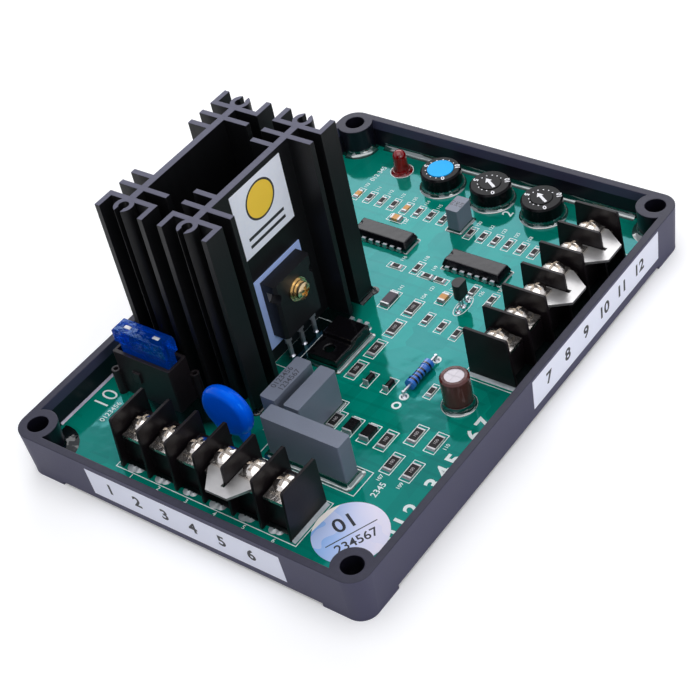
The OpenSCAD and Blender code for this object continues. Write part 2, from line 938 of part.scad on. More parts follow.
module terminal_block() {
    color("#1f1e22")
        difference() {
            union() {
                for (i = [0:ways])
                    translate([barrier_at(i) - barrier_t / 2, 0, 0])
                        rotate([90, 0, -90])
                            translate([0, 0, -barrier_t])
                                linear_extrude(barrier_t)
                                    barrier_outline();
                translate([-row_l / 2, -seat_start, 0])
                    cube([row_l, seat_start, step_h]);
                translate([-row_l / 2, -seat_start - seat_depth, 0])
                    cube([row_l, seat_depth, seat_h]);
            }
            for (i = [0:ways - 1])
                translate([way_at(i), -screw_setback, seat_h - shank_l])
                    cylinder(h = shank_l + cut, d = screw_d + 2 * fit);
        }
}

module terminal_plates() {
    color("#c8c6c0")
        for (i = [0:ways - 1])
            translate([way_at(i), 0, seat_h])
                difference() {
                    translate([-plate_w / 2, -plate_start - plate_l, 0])
                        cube([plate_w, plate_l, plate_t]);
                    translate([0, -screw_setback, -cut])
                        cylinder(h = plate_t + 2 * cut, d = screw_d + 2 * free);
                }
}

module terminal_washers(fins) {
    color("#bdbab2")
        for (i = [0:ways - 1])
            translate([way_at(i), -screw_setback, seat_h + plate_t + way_lift(i, fins)])
                linear_extrude(washer_t)
                    difference() {
                        centred_square(washer_side, washer_side);
                        circle(d = screw_d + 2 * free);
                    }
}

module terminal_screw(lift) {
    head_z = plate_t + lift + washer_t;
    difference() {
        union() {
            translate([0, 0, head_z - shank_l])
                cylinder(h = shank_l, d = screw_d);
            translate([0, 0, head_z])
                domed_head(screw_head_d, screw_head_h, screw_dome_r);
        }
        translate([0, 0, head_z + screw_head_h])
            cross_recess(screw_slot_l, screw_slot_w, screw_slot_depth);
    }
}

module terminal_screws(fins) {
    color("#d6d3cc")
        for (i = [0:ways - 1])
            translate([way_at(i), -screw_setback, seat_h])
                terminal_screw(way_lift(i, fins));
}

// Forked link: two arms under neighbouring screws, joined in front of the fin between them
module jumper_plan() {
    nose = block_depth + jumper_reach;
    difference() {
        polygon([
            [-jumper_half_w, -jumper_start],
            [-jumper_half_w, jumper_shoulder - nose],
            [-jumper_nose / 2, -nose],
            [jumper_nose / 2, -nose],
            [jumper_half_w, jumper_shoulder - nose],
            [jumper_half_w, -jumper_start]
        ]);
        translate([-barrier_t / 2 - free, -block_depth - free])
            square([barrier_t + 2 * free, block_depth]);
        for (s = [-1, 1])
            translate([s * way_pitch / 2, -screw_setback]) {
                circle(d = screw_d + 2 * free);
                translate([-screw_d / 2 - free, 0])
                    square([screw_d + 2 * free, screw_setback]);
            }
    }
}

module jumpers(fins) {
    color("#d9d8d6")
        for (f = fins)
            translate([barrier_at(f), 0, seat_h + plate_t])
                linear_extrude(jumper_t)
                    jumper_plan();
}

module front_terminal_block() {
    at_front_row()
        terminal_block();
}

module front_terminal_plates() {
    at_front_row()
        terminal_plates();
}

module front_terminal_washers() {
    at_front_row()
        terminal_washers(front_jumper_fins);
}

module front_terminal_screws() {
    at_front_row()
        terminal_screws(front_jumper_fins);
}

module front_jumper() {
    at_front_row()
        jumpers(front_jumper_fins);
}

module side_terminal_block() {
    at_side_row()
        terminal_block();
}

module side_terminal_plates() {
    at_side_row()
        terminal_plates();
}

module side_terminal_washers() {
    at_side_row()
        terminal_washers(side_jumper_fins);
}

module side_terminal_screws() {
    at_side_row()
        terminal_screws(side_jumper_fins);
}

module side_jumpers() {
    at_side_row()
        jumpers(side_jumper_fins);
}

// Dipped disc on edge, with the coating run down over its two leads
module varistor() {
    rim = varistor_t / 2;
    run_l = varistor_lift + rim / 2;
    color("#1246e0")
        translate([varistor_x, varistor_y, varistor_z]) {
            rotate([90, 0, 0])
                rotate_extrude()
                    intersection() {
                        union() {
                            translate([varistor_d / 2 - rim, 0])
                                circle(r = rim);
                            translate([0, -rim])
                                square([varistor_d / 2 - rim, varistor_t]);
                        }
                        translate([0, -rim])
                            square([varistor_d, varistor_t]);
                    }
            for (s = [-1, 1])
                translate([s * varistor_lead_pitch / 2, 0, -varistor_d / 2 - varistor_lift / 2])
                    cylinder(h = run_l, r1 = varistor_run_foot_r, r2 = varistor_run_r);
        }
}

module varistor_leads() {
    color("#c9c9cc")
        for (s = [-1, 1])
            translate([varistor_x + s * varistor_lead_pitch / 2, varistor_y, top_z])
                cylinder(h = varistor_lift / 2, r = lead_r);
}

// Potted box standing on the board from its near left corner
module boxed_capacitor(x, y, size) {
    translate([x + size[0] / 2, y + size[1] / 2, top_z])
        linear_extrude(size[2])
            rounded_plan(size[0] / 2, size[1] / 2, box_edge_r);
}

module large_film_capacitor() {
    color("#7f8290")
        boxed_capacitor(large_cap_x, large_cap_y, [large_cap_l, large_cap_t, large_cap_h]);
}

module inner_film_capacitor() {
    color("#858895")
        boxed_capacitor(inner_cap_x, medium_cap_y, [medium_cap_t, medium_cap_l, medium_cap_h]);
}

module outer_film_capacitor() {
    color("#858895")
        boxed_capacitor(outer_cap_x, medium_cap_y, [medium_cap_t, medium_cap_l, medium_cap_h]);
}

module small_film_capacitor() {
    color("#8f919c")
        boxed_capacitor(small_cap_place[0], small_cap_place[1], small_cap);
}

// Can turned about its axis, with the rolled groove near its foot and a drawn shoulder
module can_solid(d, h, from) {
    difference() {
        union() {
            translate([0, 0, from])
                cylinder(h = h - from - can_shoulder, d = d);
            translate([0, 0, h - can_shoulder])
                cylinder(h = can_shoulder, d1 = d, d2 = d - 2 * can_shoulder);
        }
        translate([0, 0, groove_z])
            rotate_extrude()
                translate([d / 2, 0])
                    circle(r = groove_r);
    }
}

module electrolytic_can() {
    color("#d8d6da")
        translate([can_place[0], can_place[1], top_z])
            can_solid(can_d - 2 * sleeve_t, can_h - sleeve_t, 0);
}

module electrolytic_sleeve() {
    color("#4a2226")
        translate([can_place[0], can_place[1], top_z])
            difference() {
                can_solid(can_d, can_h, 0);
                can_solid(can_d - 2 * sleeve_t, can_h - sleeve_t, -cut);
                cylinder(h = can_h + cut, d = can_d - 2 * sleeve_t - 2 * sleeve_lip);
            }
}

function trimmer_x(i) = trimmer_middle_x + (i - 1) * trimmer_pitch;
function dial_d(i) = i == 0 ? plain_dial_d : rotor_d;

module trimmer_body(i) {
    color("#1d1c20")
        translate([trimmer_x(i), trimmer_y, top_z])
            difference() {
                union() {
                    cylinder(h = trimmer_h - trimmer_bevel, d = trimmer_d);
                    translate([0, 0, trimmer_h - trimmer_bevel])
                        cylinder(h = trimmer_bevel, d1 = trimmer_d, d2 = trimmer_d - 2 * trimmer_bevel);
                }
                translate([0, 0, trimmer_h - rotor_recess])
                    cylinder(h = rotor_recess + cut, d = dial_d(i) + 2 * free);
                translate([0, 0, trimmer_h - rotor_recess - rotor_pin_l])
                    cylinder(h = rotor_pin_l + cut, d = rotor_pin_d + 2 * fit);
            }
}

// Recessed pointer: a stem with an arrow head
module pointer_plan() {
    polygon([
        [-pointer_tail, -pointer_w / 2],
        [pointer_neck, -pointer_w / 2],
        [pointer_neck, -pointer_head / 2],
        [pointer_tip, 0],
        [pointer_neck, pointer_head / 2],
        [pointer_neck, pointer_w / 2],
        [-pointer_tail, pointer_w / 2]
    ]);
}

module trimmer_dial(i, tint) {
    color(tint)
        translate([trimmer_x(i), trimmer_y, trimmer_top_z - rotor_recess]) {
            translate([0, 0, -rotor_pin_l + free])
                cylinder(h = rotor_pin_l, d = rotor_pin_d);
            translate([0, 0, free])
                difference() {
                    cylinder(h = rotor_recess + rotor_proud - free, d = dial_d(i));
                    if (i > 0)
                        translate([0, 0, rotor_recess + rotor_proud - free - pointer_depth])
                            linear_extrude(pointer_depth + cut)
                                rotate(pointer_angle)
                                    pointer_plan();
                }
        }
}

module left_trimmer_body() {
    trimmer_body(0);
}

module middle_trimmer_body() {
    trimmer_body(1);
}

module right_trimmer_body() {
    trimmer_body(2);
}

module left_trimmer_dial() {
    trimmer_dial(0, "#1aa0ff");
}

module middle_trimmer_dial() {
    trimmer_dial(1, "#2b2a2f");
}

module right_trimmer_dial() {
    trimmer_dial(2, "#2b2a2f");
}

module indicator_lamp() {
    color("#c01818", 0.85)
        translate([lamp_place[0], lamp_place[1], top_z]) {
            cylinder(h = lamp_flange_h, d = lamp_d + 2 * lamp_flange);
            cylinder(h = lamp_h - lamp_d / 2, d = lamp_d);
            translate([0, 0, lamp_h - lamp_d / 2])
                sphere(d = lamp_d);
        }
}

// Moulded chip with tapered sides and a half-round notch at one end
module logic_chip(place) {
    half = chip_w / 2;
    half_l = chip_l / 2;
    color("#2e2d33")
        translate([place[0], place[1], top_z + chip_lift])
            difference() {
                intersection() {
                    rotate([90, 0, 90])
                        linear_extrude(chip_l, center = true)
                            polygon([
                                [chip_taper - half, 0],
                                [half - chip_taper, 0],
                                [half, pin_rise],
                                [half - chip_end_taper, chip_h],
                                [chip_end_taper - half, chip_h],
                                [-half, pin_rise]
                            ]);
                    rotate([90, 0, 0])
                        linear_extrude(chip_w, center = true)
                            polygon([
                                [chip_taper - half_l, 0],
                                [half_l - chip_taper, 0],
                                [half_l, pin_rise],
                                [half_l - chip_end_taper, chip_h],
                                [chip_end_taper - half_l, chip_h],
                                [-half_l, pin_rise]
                            ]);
                }
                translate([chip_end_taper - half_l, 0, chip_h - chip_taper])
                    cylinder(h = chip_h, r = chip_notch_r);
            }
}

// Pins out of both long sides, bent down and narrowed to the board
module chip_pins(place) {
    pin_z = chip_lift + pin_rise;
    color("#cfd0d4")
        for (s = [0, 180])
            translate([place[0], place[1], top_z])
                rotate([0, 0, s])
                    for (i = [0:pins_a_side - 1])
                        translate([(i - (pins_a_side - 1) / 2) * pin_pitch, chip_w / 2, 0]) {
                            translate([-pin_w / 2, 0, pin_z - pin_t / 2])
                                cube([pin_w, pin_reach, pin_t]);
                            translate([-pin_w / 2, pin_reach - pin_t, chip_lift])
                                cube([pin_w, pin_t, pin_z - chip_lift]);
                            translate([-pin_foot_w / 2, pin_reach - pin_t, 0])
                                cube([pin_foot_w, pin_t, chip_lift]);
                        }
}

module left_logic_chip() {
    logic_chip(left_chip_place);
}

module right_logic_chip() {
    logic_chip(right_chip_place);
}

module left_chip_pins() {
    chip_pins(left_chip_place);
}

module right_chip_pins() {
    chip_pins(right_chip_place);
}

// Round-backed moulding with one flat side
module small_transistor() {
    color("#2c2b30")
        translate([small_transistor_place[0], small_transistor_place[1], top_z + small_transistor_lift])
            linear_extrude(small_transistor_h)
                difference() {
                    circle(d = small_transistor_d);
                    translate([small_transistor_d / 4, -small_transistor_d])
                        square([small_transistor_d, 2 * small_transistor_d]);
                }
}

module small_transistor_leads() {
    color("#c9c9cc")
        translate([small_transistor_place[0] - small_lead_t / 2, small_transistor_place[1], top_z])
            for (i = [-1:1]) {
                foot_y = i * small_lead_spread - small_lead_t / 2;
                body_y = i * small_lead_pitch - small_lead_t / 2;
                upper_l = small_transistor_lift - small_lead_bend + small_lead_t;
                translate([0, foot_y, 0])
                    cube([small_lead_t, small_lead_t, small_lead_bend]);
                translate([0, min(foot_y, body_y), small_lead_bend - small_lead_t])
                    cube([small_lead_t, abs(foot_y - body_y) + small_lead_t, small_lead_t]);
                translate([0, body_y, small_lead_bend - small_lead_t])
                    cube([small_lead_t, small_lead_t, upper_l]);
            }
}

// Power transistor laid flat, with its mounting hole away from the leads
module flat_transistor() {
    color("#201f22")
        translate([flat_place[0], flat_place[1], top_z])
            difference() {
                rotate([90, 0, 90])
                    linear_extrude(flat_w)
                        polygon([
                            [0, 0],
                            [flat_l, 0],
                            [flat_l, flat_t - box_edge_r],
                            [flat_l - box_edge_r, flat_t],
                            [flat_l / 2, flat_t],
                            [flat_l / 2 - box_edge_r, flat_step_h],
                            [0, flat_step_h]
                        ]);
                translate([flat_w / 2, flat_l / 4, -cut])
                    cylinder(h = flat_t + 2 * cut, d = flat_hole_d);
            }
}

module flat_transistor_leads() {
    lead_z = flat_t / 2;
    first_x = flat_place[0] + flat_w / 2 - lead_w / 2;
    color("#c9c9cc")
        for (i = [-1:1])
            translate([first_x + i * flat_lead_pitch, flat_place[1] + flat_l, top_z]) {
                translate([0, 0, lead_z - lead_t])
                    cube([lead_w, flat_lead_l, lead_t]);
                translate([0, flat_lead_l - lead_t, 0])
                    cube([lead_w, lead_t, lead_z]);
            }
}

// Lacquered body with a cap bulge at each end, lying along Y
module axial_resistor() {
    color("#3f78c8")
        translate([axial_place[0], axial_place[1], top_z + axial_d / 2])
            rotate([90, 0, 0]) {
                cylinder(h = axial_l, d = axial_d - 2 * axial_waist, center = true);
                for (s = [-1, 1])
                    translate([0, 0, s * (axial_l - axial_cap_l) / 2])
                        cylinder(h = axial_cap_l, d = axial_d, center = true);
            }
}

module axial_resistor_leads() {
    out_l = (axial_span - axial_l) / 2 + lead_r;
    color("#c9c9cc")
        for (s = [-1, 1])
            translate([axial_place[0], axial_place[1] + s * axial_span / 2, top_z]) {
                cylinder(h = axial_d / 2 + lead_r, r = lead_r);
                translate([0, s * lead_r, axial_d / 2])
                    rotate([s * 90, 0, 0])
                        cylinder(h = out_l, r = lead_r);
            }
}

module chips_at(places, size) {
    for (p = places)
        translate([p[0] - size[0] / 2, p[1] - size[1] / 2, top_z])
            cube(size);
}

module large_chip_resistors() {
    color("#2b2524")
        chips_at(large_chip_places, [large_chip_w, large_chip_l, chip_t]);
}

module small_chip_resistors() {
    color("#3a3638") {
        chips_at(small_places, [small_chip_w, small_chip_l, chip_t]);
        chips_at(across_places, [small_chip_l, small_chip_w, chip_t]);
    }
}

module chip_capacitors() {
    color("#d8b083") {
        chips_at([tan_across_place], tan_size);
        chips_at([tan_along_place], [tan_size[1], tan_size[0], tan_size[2]]);
        chips_at(tan_row_places, [small_chip_w, small_chip_l, chip_t]);
    }
}

module tantalum_capacitor() {
    color("#8a8088")
        chips_at([tantalum_place], tantalum_size);
}

module chip_diodes() {
    color("#2a2a2c") {
        for (p = diode_places)
            translate([p[0], p[1], top_z + diode_d / 2])
                rotate([90, 0, 0])
                    cylinder(h = diode_l, d = diode_d, center = true);
        chips_at(power_diode_places, power_diode_size);
    }
}

tray();
potting_resin();
circuit_board();
left_heatsink();
right_heatsink();
heatsink_screws();
left_insulating_pad();
right_insulating_pad();
left_power_device();
right_power_device();
left_device_leads();
right_device_leads();
left_device_screw();
right_device_screw();
fuse_holder();
fuse_clips();
blade_fuse_body();
blade_fuse_element();
front_terminal_block();
front_terminal_plates();
front_terminal_washers();
front_terminal_screws();
front_jumper();
side_terminal_block();
side_terminal_plates();
side_terminal_washers();
side_terminal_screws();
side_jumpers();
varistor();
varistor_leads();
large_film_capacitor();
inner_film_capacitor();
outer_film_capacitor();
small_film_capacitor();
electrolytic_can();
electrolytic_sleeve();
left_trimmer_body();
middle_trimmer_body();
right_trimmer_body();
left_trimmer_dial();
middle_trimmer_dial();
right_trimmer_dial();
indicator_lamp();
left_logic_chip();
right_logic_chip();
left_chip_pins();
right_chip_pins();
small_transistor();
small_transistor_leads();
flat_transistor();
flat_transistor_leads();
axial_resistor();
axial_resistor_leads();
large_chip_resistors();
small_chip_resistors();
chip_capacitors();
tantalum_capacitor();
chip_diodes();
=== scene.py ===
"""Dresses the packed voltage regulator: finishes, board print, resin, labels, dial marks and stage."""

import math

import bmesh
import bpy
from bpy.props import FloatProperty, FloatVectorProperty, IntProperty, PointerProperty
from mathutils import Matrix, Vector


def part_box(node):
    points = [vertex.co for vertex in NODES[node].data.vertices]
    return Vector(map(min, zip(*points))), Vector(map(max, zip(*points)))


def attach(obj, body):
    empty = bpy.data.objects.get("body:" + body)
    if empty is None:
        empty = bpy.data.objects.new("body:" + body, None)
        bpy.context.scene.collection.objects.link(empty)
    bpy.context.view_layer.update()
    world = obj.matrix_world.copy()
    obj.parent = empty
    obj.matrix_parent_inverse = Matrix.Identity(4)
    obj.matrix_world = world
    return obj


bl_info = {
    "name": "Voltage Regulator Dressing",
    "version": (1, 0, 0),
    "blender": (4, 5, 0),
    "location": "View3D > Sidebar > Regulator",
    "description": "Finishes and fine pieces for an open-frame generator voltage regulator",
    "category": "Object",
}

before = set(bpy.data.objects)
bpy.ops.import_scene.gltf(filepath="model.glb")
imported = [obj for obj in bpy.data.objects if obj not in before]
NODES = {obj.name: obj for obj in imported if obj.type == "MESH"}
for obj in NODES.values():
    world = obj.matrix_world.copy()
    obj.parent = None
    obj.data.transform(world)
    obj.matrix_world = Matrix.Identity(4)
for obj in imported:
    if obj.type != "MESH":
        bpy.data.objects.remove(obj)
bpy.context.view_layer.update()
ROOT = "regulator"
MM = 0.001
BOARD_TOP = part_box("circuit_board")[1][2]
TRAY_LOW, TRAY_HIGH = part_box("tray")
DIALS = ("left", "middle", "right")
CHIPS = (
    "large_chip_resistors", "small_chip_resistors", "chip_capacitors", "chip_diodes", "tantalum_capacitor")

# Sizes of the solids that the trim follows
WAYS = 6
WAY_PITCH = 9.5 * MM
FIN = 0.8 * MM
POCKET = 3.0 * MM
CORNER = 11.2 * MM
HOLE_INSET = 5.5 * MM
BOSS = 5.1 * MM
BOSS_SWEEP = 106
BOSS_STEPS = 16
LEAD_HALF = 0.3 * MM
LIP = 6.4 * MM
BLADE = 5.1 * MM
WINDOW = (2.2 * MM, 1.1 * MM)
POINTER_DEPTH = 0.5 * MM
POINTER_HEADING = 150
WALL_LEAN = math.degrees(math.atan2(0.7, 13.8))

# Sizes of the trim itself
HAIR = 0.01 * MM
MOUTH = 1.5 * MM
POOL_CORE = 0.4 * MM
PAD_RADIUS = 0.4 * MM
CHIP_SKIN = 0.04 * MM
COAT = 0.06 * MM
CHIP_FIGURE = 1.6 * MM
WAY_FIGURE = 1.9 * MM

# Dots of a dial's scale: first heading, end and step in degrees, the one that the 5 replaces, and radius
DOT_HEADINGS = (-73, -320, -25)
DOT_GAP = -173
DOT = 0.22 * MM

# Painted shade on the board by the fuse holder and the right device: centre and reach, in mm
PAINTED_SHADE_SPOTS = (((-28, -39), (19, 14)), ((-11, -3), (8, 17)))

# Plain figures on the board: words, size, x, y and weight, with sizes and places in mm
BOARD_FIGURES = (
    ("0123456", 2.3, -45.6, -54.6, 0.01),
    ("012 345", 2.3, -38.3, 63.4, 0.01),
    ("2345", 2.6, 38.2, -44.6, 0.01),
    ("2", 4.6, 9.3, 62.6, 0.01),
    ("10", 7.4, -50.2, -51.4, -0.008),
    *((figure, 6.6, 50.0, i * 4.7 - 55.5, 0.025) for i, figure in enumerate("012 345 67") if figure != " "),
)

# The photograph's camera, and the surroundings that clean rays see
CAMERA_PLACE = (0.2494, -0.2535, 0.3159)
CAMERA_AXES = (
    (0.796094, 0.579272, -0.175153),
    (-0.290654, 0.619845, 0.728912),
    (0.530806, -0.529374, 0.661822),
)
CLEAN_WHITE = (0.85, 0.87, 0.95)
CLEAN_RAYS = ("Is Camera Ray", "Is Glossy Ray", "Is Transmission Ray")


def tint(red, green, blue):
    """A linear colour from display values of 0 to 255."""
    def linear(value):
        value /= 255
        return value / 12.92 if value <= 0.04045 else ((value + 0.055) / 1.055) ** 2.4
    return (linear(red), linear(green), linear(blue))


def scaled(colour, share):
    return tuple(channel * share for channel in colour)


# Settings that a user would change


def colour_setting(name, description, *display):
    return FloatVectorProperty(name=name, description=description, subtype="COLOR", default=tint(*display))


def length_setting(name, description, default):
    """A length whose default is given in millimetres."""
    return FloatProperty(name=name, description=description, unit="LENGTH", default=default * MM)


def power_setting(name, description, default):
    return FloatProperty(name=name, description=description, subtype="POWER", default=default)


class FinishSettings(bpy.types.PropertyGroup):
    """Colours of the main finishes."""

    tray: colour_setting("Tray", "Moulded tray plastic", 66, 65, 90)
    board: colour_setting("Board", "Solder mask under the resin film", 0, 136, 118)
    extrusion: colour_setting("Extrusion", "Black anodised heatsinks", 14, 14, 16)
    black_plastic: colour_setting("Black plastic", "Terminal blocks", 20, 15, 18)
    capacitor: colour_setting("Film capacitors", "Moulded capacitor boxes", 112, 119, 135)
    varistor: colour_setting("Varistor", "Dipped disc coating", 0, 92, 240)
    fuse: colour_setting("Fuse", "Translucent fuse plastic", 0, 84, 232)
    dial: colour_setting("Blue dial", "Cap of the first trimmer", 8, 180, 255)
    label: colour_setting("Labels", "Wall label stock", 238, 241, 255)


class PrintSettings(bpy.types.PropertyGroup):
    """Sizes of the white board print and the solder."""

    line: length_setting("Line width", "Width of a printed outline", 0.25)
    margin: length_setting("Margin", "Gap from a part to its printed outline", 0.45)
    end_margin: length_setting("End margin", "The same gap at the ends of a chip", 1.3)
    thickness: length_setting("Print thickness", "Height of the ink over the board", 0.03)
    pad_margin: length_setting("Pad margin", "How far a solder pad stands past its lead", 0.5)
    pad_length: length_setting("Pad length", "How far a chip's pads show past its ends", 0.35)


class ResinSettings(bpy.types.PropertyGroup):
    """Sizes of the resin that creeps up walls and parts."""

    wall_rise: length_setting("Rise at walls", "Height of the resin edge on the tray", 1.5)
    wall_run: length_setting("Run at walls", "Width of the resin edge on the board", 1.9)
    part_rise: length_setting("Rise at parts", "Height of the resin edge on a part", 0.7)
    part_run: length_setting("Run at parts", "Width of the resin edge round a part", 0.9)
    post_rise: length_setting("Rise at posts", "Height of the resin edge on round parts", 1.8)
    post_run: length_setting("Run at posts", "Width of the resin edge round them", 1.0)
    # The pool is the dark sheet of painted shade beside the terminals.
    pool: length_setting("Pool depth", "Level resin beside the terminals", 0.3)
    steps: IntProperty(name="Steps", description="Facets across a resin edge", default=6, min=2, max=12)


class LabelSettings(bpy.types.PropertyGroup):
    """Sizes of the wall labels and stickers."""

    thickness: length_setting("Thickness", "Label stock", 0.04)
    front_length: length_setting("Front label length", "Along the front wall", 64.8)
    side_length: length_setting("Side label length", "Along the right wall", 66)
    height: length_setting("Label height", "Up the wall", 9.8)
    figure: length_setting("Figure height", "Height of the numbers", 5.4)
    sticker: length_setting("Sticker side", "Square sticker on the heatsink", 21)
    disc: length_setting("Round sticker", "Diameter of the round sticker", 20)


class StageSettings(bpy.types.PropertyGroup):
    """Camera and lamps."""

    lens: FloatProperty(
        name="Lens", description="Focal length on a 36 mm sensor", default=87.92, subtype="DISTANCE_CAMERA")
    key: power_setting("Key lamp", "Power of the low softbox behind the part", 4.1)
    top: power_setting("Top lamp", "Power of the overhead softbox", 6.6)
    side: power_setting("Side lamp", "Power of the softbox at the right", 2.3)
    world: FloatProperty(name="World", description="Strength of the surrounding light", default=0.32)


# Shader sockets and finishes


def maths(operation, flip=False):
    """A method that joins a socket and a value in a math node."""
    def method(self, other=0.0):
        values = (other, self) if flip else (self, other)
        return self.finish.add("ShaderNodeMath", {"operation": operation}, dict(enumerate(values)))
    return method


class Wire:
    """A shader socket that takes part in Python arithmetic."""

    __add__ = maths("ADD")
    __radd__ = maths("ADD", True)
    __sub__ = maths("SUBTRACT")
    __rsub__ = maths("SUBTRACT", True)
    __mul__ = maths("MULTIPLY")
    __rmul__ = maths("MULTIPLY", True)
    __truediv__ = maths("DIVIDE")
    __gt__ = maths("GREATER_THAN")
    __lt__ = maths("LESS_THAN")
    __abs__ = maths("ABSOLUTE")
    least = maths("MINIMUM")

    def __init__(self, finish, socket):
        self.finish = finish
        self.socket = socket


def band(value, low, high):
    """One between two values, nought outside."""
    return (value > low) * (value < high)


class Finish:
    """A procedural material, built from one node method and a few short cuts to it."""

    def __init__(self, name, store="materials"):
        self.owner = getattr(bpy.data, store).new(name)
        self.owner.use_nodes = True
        self.tree = self.owner.node_tree
        self.tree.nodes.clear()
        self.parts = None

    def add(self, kind, settings=None, sockets=None, out=0):
        """Adds a node: its settings first, then the values or links of its sockets."""
        node = self.tree.nodes.new(kind)
        for key, value in (settings or {}).items():
            setattr(node, key, value)
        for key, value in (sockets or {}).items():
            if isinstance(value, Wire):
                self.tree.links.new(value.socket, node.inputs[key])
            else:
                node.inputs[key].default_value = value
        return Wire(self, node.outputs[out]) if node.outputs else None

    def spot(self):
        """Object coordinates as a vector."""
        return self.add("ShaderNodeTexCoord", out="Object")

    def split(self, vector):
        node = self.add("ShaderNodeSeparateXYZ", None, {0: vector}).socket.node
        return [Wire(self, output) for output in node.outputs]

    def axes(self):
        """Object coordinates as three values, in metres."""
        if self.parts is None:
            self.parts = self.split(self.spot())
        return self.parts

    def facing(self):
        """The surface's own normal as three values."""
        return self.split(self.add("ShaderNodeNewGeometry", out="Normal"))

    def noise(self, scale, detail=3.0, stretch=(1, 1, 1)):
        where = self.add("ShaderNodeMapping", None, {"Vector": self.spot(), "Scale": stretch})
        wires = {"Vector": where, "Scale": scale, "Detail": detail, "Roughness": 0.55}
        return self.add("ShaderNodeTexNoise", None, wires)

    def mix(self, factor, first, second):
        wires = {"Factor": factor, 6: self.colour(first), 7: self.colour(second)}
        return self.add("ShaderNodeMix", {"data_type": "RGBA"}, wires, out=2)

    @staticmethod
    def colour(value):
        return value if isinstance(value, Wire) else (*value, 1)

    def bump(self, height, depth, rounded=0.0):
        """Relief, on edges that are softened where a radius is given."""
        wires = {"Height": height, "Distance": depth}
        if rounded:
            wires["Normal"] = self.add("ShaderNodeBevel", {"samples": 6}, {"Radius": rounded})
        return self.add("ShaderNodeBump", None, wires)

    def surface(self, colour, roughness, **sockets):
        """Closes the material with a principled surface."""
        wires = {"Base Color": self.colour(colour), "Roughness": roughness}
        wires.update({key.replace("_", " "): value for key, value in sockets.items()})
        shader = self.add("ShaderNodeBsdfPrincipled", None, wires)
        self.add("ShaderNodeOutputMaterial", None, {"Surface": shader})
        return self.owner


def moulded(name, colour, roughness, grain=2600, depth=0.012, mottle=0.12, rounded=0.0, **sockets):
    """Moulded plastic: fine spark texture, slight mottling and uneven gloss."""
    finish = Finish(name)
    cloud = finish.noise(120)
    spark = finish.noise(grain, detail=2.0)
    shade = finish.mix(cloud, scaled(colour, 1 - mottle), scaled(colour, 1 + mottle))
    gloss = roughness - 0.08 + 0.16 * cloud
    return finish.surface(shade, gloss, Normal=finish.bump(spark, depth * MM, rounded * MM), **sockets)


def plated(name, colour, roughness, stretch=(1, 1, 1), scratch=900, depth=0.006, metallic=1.0):
    """Plated or bare metal: fine scratches, stains and uneven polish."""
    finish = Finish(name)
    stain = finish.noise(420)
    lines = finish.noise(scratch, detail=4.0, stretch=stretch)
    shade = finish.mix(stain, scaled(colour, 0.78), colour)
    gloss = roughness - 0.06 + 0.14 * lines
    return finish.surface(shade, gloss, Metallic=metallic, Normal=finish.bump(lines, depth * MM))


def cast(name, scale, first, second, gloss, depth, detail=2.0, ripple=None, **sockets):
    """Resin: clouds in its colour and gloss, and a relief of the same clouds or of a ripple."""
    finish = Finish(name)
    cloud = finish.noise(scale, detail=detail)
    height = finish.noise(ripple, detail=1.0) if ripple else cloud
    shade = finish.mix(cloud, tint(*first), tint(*second))
    normal = finish.bump(height, depth * MM)
    return finish.surface(shade, gloss[0] + gloss[1] * cloud, Normal=normal, **sockets)


# Meshes and pieces


def place(*matrices):
    """One matrix from several, the first applied last."""
    result = Matrix.Identity(4)
    for matrix in matrices:
        result = result @ matrix
    return result


def shift(x=0.0, y=0.0, z=0.0):
    return Matrix.Translation((x, y, z))


def turn(degrees, axis="Z"):
    return Matrix.Rotation(math.radians(degrees), 4, axis)


def stretch(x, y, z):
    return Matrix.Diagonal((x, y, z, 1))


def add_block(bm, low, high, bevel=0.0, segments=2):
    """A box between two corners, with rounded edges where a bevel is given."""
    low, high = Vector(low), Vector(high)
    made = bmesh.ops.create_cube(
        bm, size=1, matrix=place(Matrix.Translation((low + high) / 2), stretch(*(high - low))))
    if bevel:
        edges = list({edge for vert in made["verts"] for edge in vert.link_edges})
        bmesh.ops.bevel(
            bm, geom=edges, offset=bevel, segments=segments, profile=0.5, affect="EDGES", material=-1)


def add_outline(bm, low, high, line, level):
    """A flat rectangular outline."""
    middle = ((low[0] + high[0]) / 2, (low[1] + high[1]) / 2, level)
    half = ((high[0] - low[0]) / 2, (high[1] - low[1]) / 2)
    made = bmesh.ops.create_grid(
        bm, x_segments=1, y_segments=1, size=1, matrix=place(shift(*middle), stretch(*half, 1)))
    open_middle(bm, made["verts"], line)


def add_ring(bm, centre, radius, line, level, segments=40, oval=1.0):
    """A flat ring, or a full disc where the line is wider than the radius; oval lengthens it along Y."""
    made = bmesh.ops.create_circle(
        bm, cap_ends=True, segments=segments, radius=radius,
        matrix=place(shift(centre[0], centre[1], level), stretch(1, oval, 1)))
    if line < radius:
        open_middle(bm, made["verts"], line)


def open_middle(bm, verts, line):
    """Leaves only a rim of the face between these vertices."""
    face = next(face for face in verts[0].link_faces if set(face.verts) == set(verts))
    bmesh.ops.inset_region(bm, faces=[face], thickness=line, use_even_offset=True, use_boundary=True)
    bmesh.ops.delete(bm, geom=[face], context="FACES_ONLY")


def only(kind, items):
    return [item for item in items if isinstance(item, kind)]


def sweep_faces(bm, faces, vector):
    """Draws faces out into a solid, with the faces themselves as its near end."""
    made = bmesh.ops.extrude_face_region(bm, geom=faces, use_keep_orig=True)
    bmesh.ops.translate(bm, verts=only(bmesh.types.BMVert, made["geom"]), vec=vector)


def thicken(bm, thickness):
    """Gives flat upward faces a thickness, their lower side where they were."""
    sweep_faces(bm, list(bm.faces), (0, 0, thickness))


